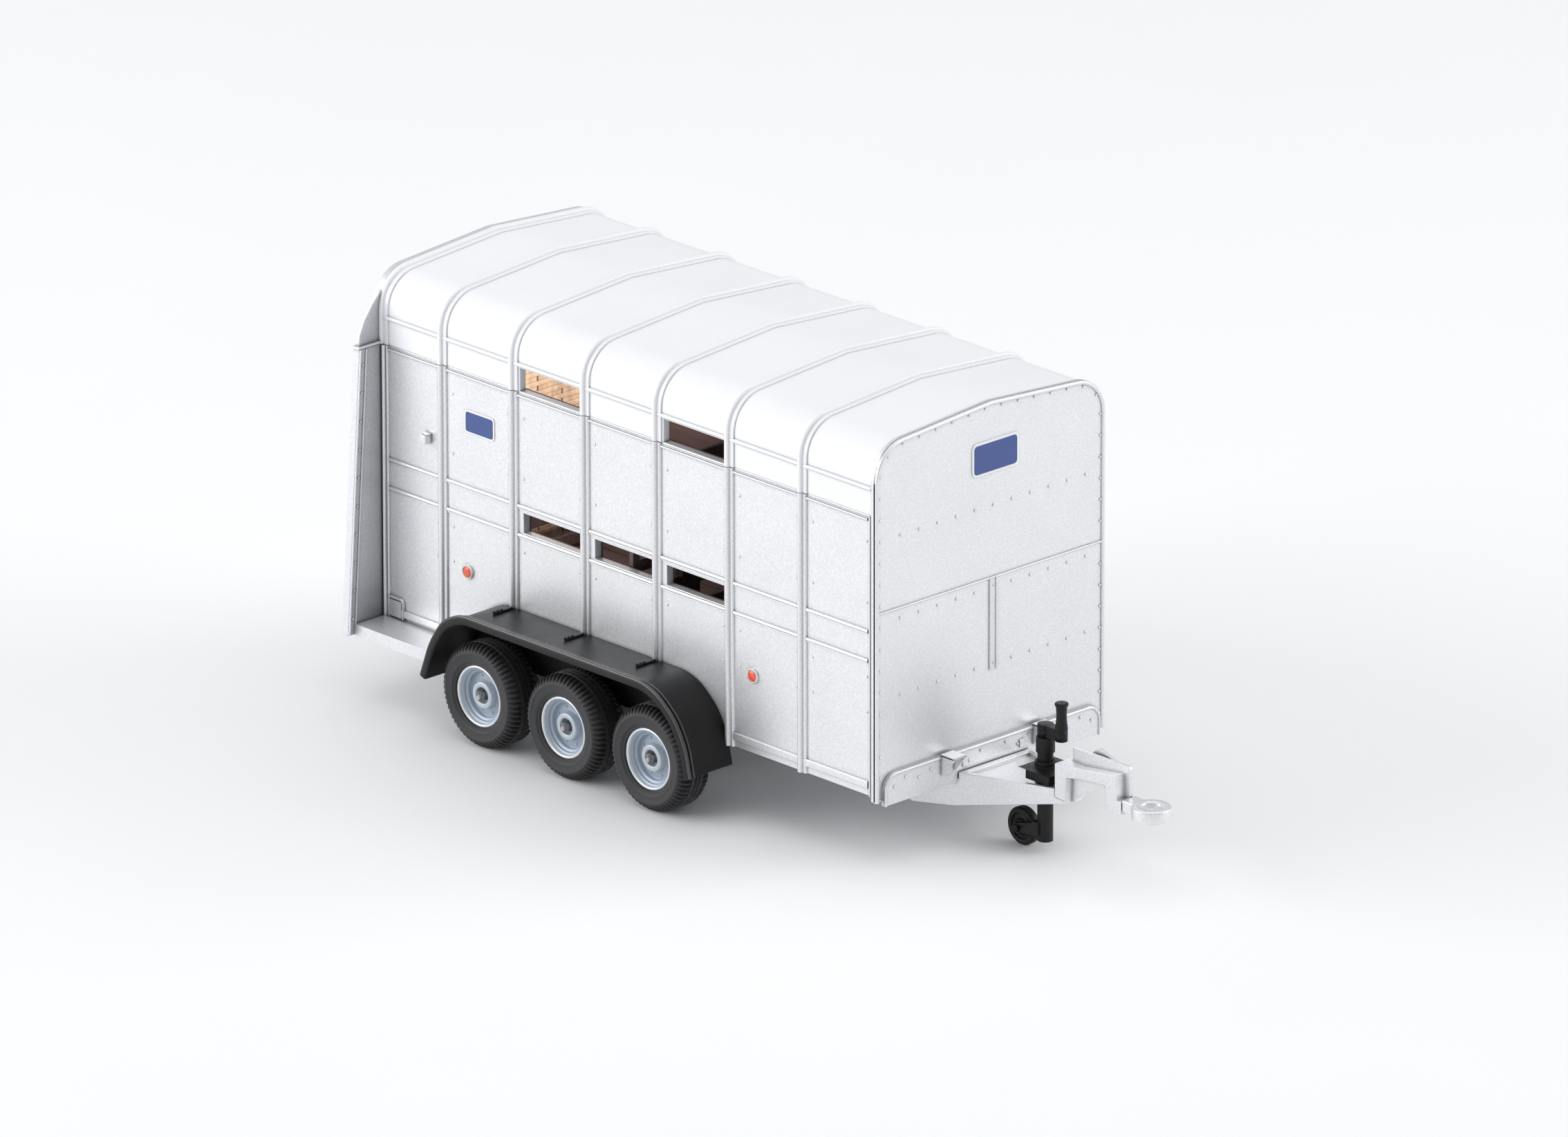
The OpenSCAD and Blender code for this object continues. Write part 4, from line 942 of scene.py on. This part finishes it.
def guard(name, side, node):
    """A bent strip over the three wheels, with a doubled bead along its outer edge."""
    front, rear = AXLES[0][0], AXLES[2][0]
    low, high = mm_box(node)
    top = GUARD_TOP
    corners = [(front + 12.4, 10.0), (front + 11.2, top - 9.5), (front + 8.6, top - 4.9),
               (front + 4.2, top - 1.3), (front + 0.4, top), (rear - 3.0, top), (rear - 7.5, top - 2.3),
               (rear - 10.8, top - 7.3), (rear - 13.2, 10.9)]
    path = []
    for i, (px, pz) in enumerate(corners):
        here = Vector((px, pz))
        if i in (0, len(corners) - 1):
            path.append(here)
            continue
        before, after = Vector(corners[i - 1]), Vector(corners[i + 1])
        back = min(2.0, (here - before).length * 0.42)
        ahead = min(2.0, (here - after).length * 0.42)
        a = here + (before - here).normalized() * back
        b = here + (after - here).normalized() * ahead
        for step in range(5):
            t = step / 4
            path.append(a * (1 - t) ** 2 + here * 2 * t * (1 - t) + b * t * t)
    wall = HALF + SINK
    outer = max(abs(low.y), abs(high.y))
    strip = [(wall, 0.0), (outer - 2.0, 0.0), (outer - 1.9, 0.2), (outer - 1.72, 0.3), (outer - 1.5, 0.3),
             (outer - 1.36, 0.2), (outer - 1.28, 0.0), (outer - 1.12, 0.0), (outer - 1.02, 0.36),
             (outer - 0.82, 0.56), (outer - 0.4, 0.6), (outer - 0.12, 0.42), (outer, 0.1), (outer, -0.75),
             (outer - 0.2, -1.0), (wall, -1.0)]
    centre = Vector(((front + rear) / 2, 10.0))

    def bent(across):
        """The section function that carries (y, lift) points along the guard's path."""
        def section(i):
            along = (path[min(i + 1, len(path) - 1)] - path[max(i - 1, 0)]).normalized()
            out = Vector((along.y, -along.x))
            if out.dot(path[i] - centre) < 0:
                out = -out
            spots = [(path[i] + out * lift, side * y) for y, lift in across]
            return [Vector((spot.x, y, spot.y)) for spot, y in spots]
        return section

    bm = bmesh.new()
    sweep(bm, path, bent(strip))
    place(new_object(name, bm, 32.0), "trailer", "black_plastic", None, [node])
    for word, middle, lift, radius in (("outer", outer - 0.42, 0.42, 0.34), ("inner", outer - 1.62, 0.2, 0.24)):
        turns = [math.radians(36 * i) for i in range(10)]
        bead = [(middle + radius * math.cos(turn), lift + radius * math.sin(turn)) for turn in turns]
        bm = bmesh.new()
        sweep(bm, path, bent(bead))
        # painted highlight: the beads take the lighter black
        place(new_object(f"{name}_bead_{word}", bm, 60.0), "trailer", "black_plastic", BEAD_BLACK_PAINTED_HIGHLIGHT)
    # Painted shade: a black sheet on the wall behind the wheels, standing in for the shade under the guard.
    arch = [(p.x, p.y - 1.2) for p in path]
    ends = [(arch[0][0] - 1.2, FOOT), (arch[-1][0] + 1.2, FOOT)]
    arch = [ends[0]] + [p for p in arch if p[1] > FOOT + 0.3] + [ends[1]]
    bm = bmesh.new()
    extrude(bm, arch, X, Z, Vector((0.0, side * wall, 0.0)), Y * (side * 0.25))
    place(new_object(name + "_lining", bm), "trailer", "black_plastic")
    bm = bmesh.new()
    for x in RIBS[2:5]:
        near, far = sorted((side * (wall + 0.9), side * (HALF + 5.4)))
        block(bm, (x - 0.35, near, top - 0.2), (x + 0.35, far, top + 0.42))
    bars = new_object(name + "_bars", bm)
    bevel(bars, 0.16)
    place(bars, "trailer", "black_plastic")
    bm = bmesh.new()
    for x in RIBS[2:5]:
        for dy in (3.6, 4.5, 5.4):
            dome(bm, Vector((x, side * (HALF + dy), top + 0.4)) * MM, (0, 0, 1), 0.34, 0.3)
    place(new_object(name + "_rivets", bm), "trailer", "black_plastic")


guard("guard_right_strip", -1, "guard_right")
guard("guard_left_strip", 1, "guard_left")


# ---------------------------------------------------------------- markers, badges, rivets


def markers(side, word):
    low, high = mm_box(f"markers_{word}")
    z = (low.z + high.z) / 2
    for x in (low.x + 1.37, high.x - 1.37):
        centre = Vector((x, side * HALF, z)) * MM
        bm = bmesh.new()
        lens = [(0.02, 0.0), (0.02, 0.62), (0.5, 0.6), (0.9, 0.5), (1.08, 0.34), (1.1, 0.0)]
        lathe(bm, lens, centre, side, 40)
        place(new_object(f"marker_{word}_{'front' if x > 0 else 'rear'}", bm, 40.0), "trailer", "marker_red",
              None, [f"markers_{word}"])
        bm = bmesh.new()
        lathe(bm, [(1.08, 0.0), (1.08, 0.42), (1.16, 0.5), (1.28, 0.5), (1.36, 0.4), (1.37, 0.0)],
              centre, side, 40)
        place(new_object(f"bezel_{word}_{'front' if x > 0 else 'rear'}", bm, 40.0), "trailer",
              "marker_red", PALE_BEZEL)


markers(-1, "right")
markers(1, "left")


def rounded_plate(name, middle, across, up, normal, size, radius, thick, material, slot, replaces=()):
    """A thin plate with rounded corners, centred at "middle" (mm), with a soft edge."""
    bm = bmesh.new()
    w, h = size[0] / 2 - radius, size[1] / 2 - radius
    ring = []
    for cx, cy, start in ((w, h, 0), (-w, h, 90), (-w, -h, 180), (w, -h, 270)):
        for i in range(6):
            turn = math.radians(start + 18 * i)
            ring.append((cx + radius * math.cos(turn), cy + radius * math.sin(turn)))
    layers = [(0.0, 0.0), (thick * 0.7, 0.0), (thick, 0.1)]
    rings = []
    for lift, draw in layers:
        shrunk = [(x * (1 - draw / size[0]), y * (1 - draw / size[1])) for x, y in ring]
        rings.append([bm.verts.new((middle + across * x + up * y + normal * lift) * MM) for x, y in shrunk])
    for a, b in zip(rings, rings[1:]):
        for i in range(len(ring)):
            k = (i + 1) % len(ring)
            bm.faces.new((a[i], a[k], b[k], b[i]))
    bm.faces.new(list(reversed(rings[0])))
    bm.faces.new(rings[-1])
    return place(new_object(name, bm, 30.0), "trailer", slot, material, replaces)


low, high = mm_box("front_badge")
middle = (low + high) / 2
face = Vector((low.x, middle.y, middle.z))
rounded_plate("front_plate_border", face, Y, Z, X, (high.y - low.y, high.z - low.z), 1.0, 0.2, PLATE_WHITE,
              "badge_blue", ["front_badge"])
rounded_plate("front_plate_field", face, Y, Z, X, (high.y - low.y - 0.9, high.z - low.z - 0.9), 0.7, 0.28,
              None, "badge_blue")
low, high = mm_box("side_badges")
middle = (low + high) / 2
for side, word in ((-1, "right"), (1, "left")):
    spot = Vector((middle.x, side * HALF, middle.z))
    rounded_plate(f"side_plate_{word}_border", spot, X, Z, Y * side, (high.x - low.x, high.z - low.z), 0.8,
                  0.18, PLATE_WHITE, "badge_blue", ["side_badges"])
    rounded_plate(f"side_plate_{word}_field", spot, X, Z, Y * side,
                  (high.x - low.x - 0.7, high.z - low.z - 0.7), 0.5, 0.24, None, "badge_blue")


def catch(side, word, replaced):
    """A small square catch block under a flat keeper block."""
    low, high = mm_box("catches")
    x, z, proud = (low.x + high.x) / 2, (low.z + high.z) / 2, high.y - HALF
    bm = bmesh.new()
    for (x0, x1), (z0, z1), (y0, y1) in (
            ((-0.75, 0.75), (-0.95, 0.75), (-0.1, proud)), ((-0.9, 0.9), (0.7, 1.0), (-0.1, proud * 0.7))):
        a, b = side * (HALF + y0), side * (HALF + y1)
        block(bm, (x + x0, min(a, b), z + z0), (x + x1, max(a, b), z + z1))
    place(bevel(new_object(f"catch_{word}", bm), 0.14, 2), "trailer", "silver_body", None, replaced)


catch(-1, "right", ["catches"])
catch(1, "left", ["catches"])


def side_rivets(side, word):
    bm = bmesh.new()
    for x in RIBS + [FRONT_LOW.x + 0.4]:
        for dx in (-1.75, 2.4):
            if x > RIBS[0] + 5 and dx > 0:
                continue
            for z in (JOINT - 5.1, JOINT - 16.7, 36.2, 29.5):
                if z < 34 and x < AXLES[0][0] + 6 and x > AXLES[2][0] - 14:
                    continue
                dome(bm, Vector((x + dx, side * HALF, z)) * MM, (0, side, 0), *THIN_RIVET)
    place(new_object(f"side_rivets_{word}", bm), "trailer", "silver_body")


side_rivets(-1, "right")
side_rivets(1, "left")


# ---------------------------------------------------------------- camera, light and floor


AZIMUTH, ELEVATION, ROLL = 46.44, 20.07, -0.091  # degrees
DISTANCE = 3.69905
TARGET = (-8.791, -0.25, 36.341)


def camera():
    """The photo's view: a long lens from the front right, a little above."""
    azimuth, elevation, roll = math.radians(AZIMUTH), math.radians(ELEVATION), math.radians(ROLL)
    back = Vector((math.sin(azimuth) * math.cos(elevation), -math.cos(azimuth) * math.cos(elevation),
                   math.sin(elevation)))
    target = Vector(TARGET) * MM
    right = Vector((0, 0, 1)).cross(back).normalized()
    up = back.cross(right)
    turned_right = right * math.cos(roll) + up * math.sin(roll)
    turned_up = back.cross(turned_right)
    data = bpy.data.cameras.new("camera")
    data.lens = 467.80
    data.sensor_width = 36.0
    data.clip_end = 50.0
    made = bpy.data.objects.new("camera", data)
    bpy.context.scene.collection.objects.link(made)
    rotation = Matrix((turned_right, turned_up, back)).transposed()
    made.matrix_world = Matrix.Translation(target + back * DISTANCE) @ rotation.to_4x4()
    bpy.context.scene.camera = made


def area_light(name, spot, aim, size, power, colour=(1.0, 1.0, 1.0)):
    data = bpy.data.lights.new(name, "AREA")
    data.shape = "RECTANGLE"
    data.size, data.size_y = size
    data.energy = power
    data.color = colour
    made = bpy.data.objects.new(name, data)
    bpy.context.scene.collection.objects.link(made)
    spot = Vector(spot)
    made.location = spot
    made.visible_camera = False
    made.rotation_euler = (Vector(aim) - spot).to_track_quat("-Z", "Y").to_euler()


def studio():
    world = bpy.data.worlds.new("studio")
    world.use_nodes = True
    sky = world.node_tree.nodes["Background"]
    sky.inputs["Color"].default_value = (0.97, 0.98, 1.0, 1.0)
    sky.inputs["Strength"].default_value = 0.52
    bpy.context.scene.world = world
    area_light("top_softbox", (0.0, 0.1, 1.2), (0, 0, 0), (1.4, 1.4), 4.7)
    area_light("left_softbox", (-0.85, -1.0, 0.5), (0, 0, 0.03), (1.1, 0.8), 10.2)
    area_light("rear_softbox", (-1.2, -0.4, 0.7), (0, 0, 0.03), (1.0, 0.8), 1.0)
    area_light("right_softbox", (0.85, 0.95, 0.6), (0, 0, 0.03), (1.0, 0.8), 7.4)
    area_light("inner_glow", (-0.052, 0.0, 0.062), (-0.088, 0.0, 0.05), (0.03, 0.014), 0.022,
               (1.0, 0.95, 0.9))
    bm = bmesh.new()
    bmesh.ops.create_grid(bm, x_segments=2, y_segments=2, size=6.0)
    floor = new_object("floor", bm)
    floor.data.materials.append(finish("white_paper", (0.94, 0.945, 0.95), 0.7, [
        {"kind": "noise", "size": 60.0, "tint": 0.004, "rough": 0.05}]))
    bpy.context.scene.view_settings.view_transform = "Standard"


camera()
studio()
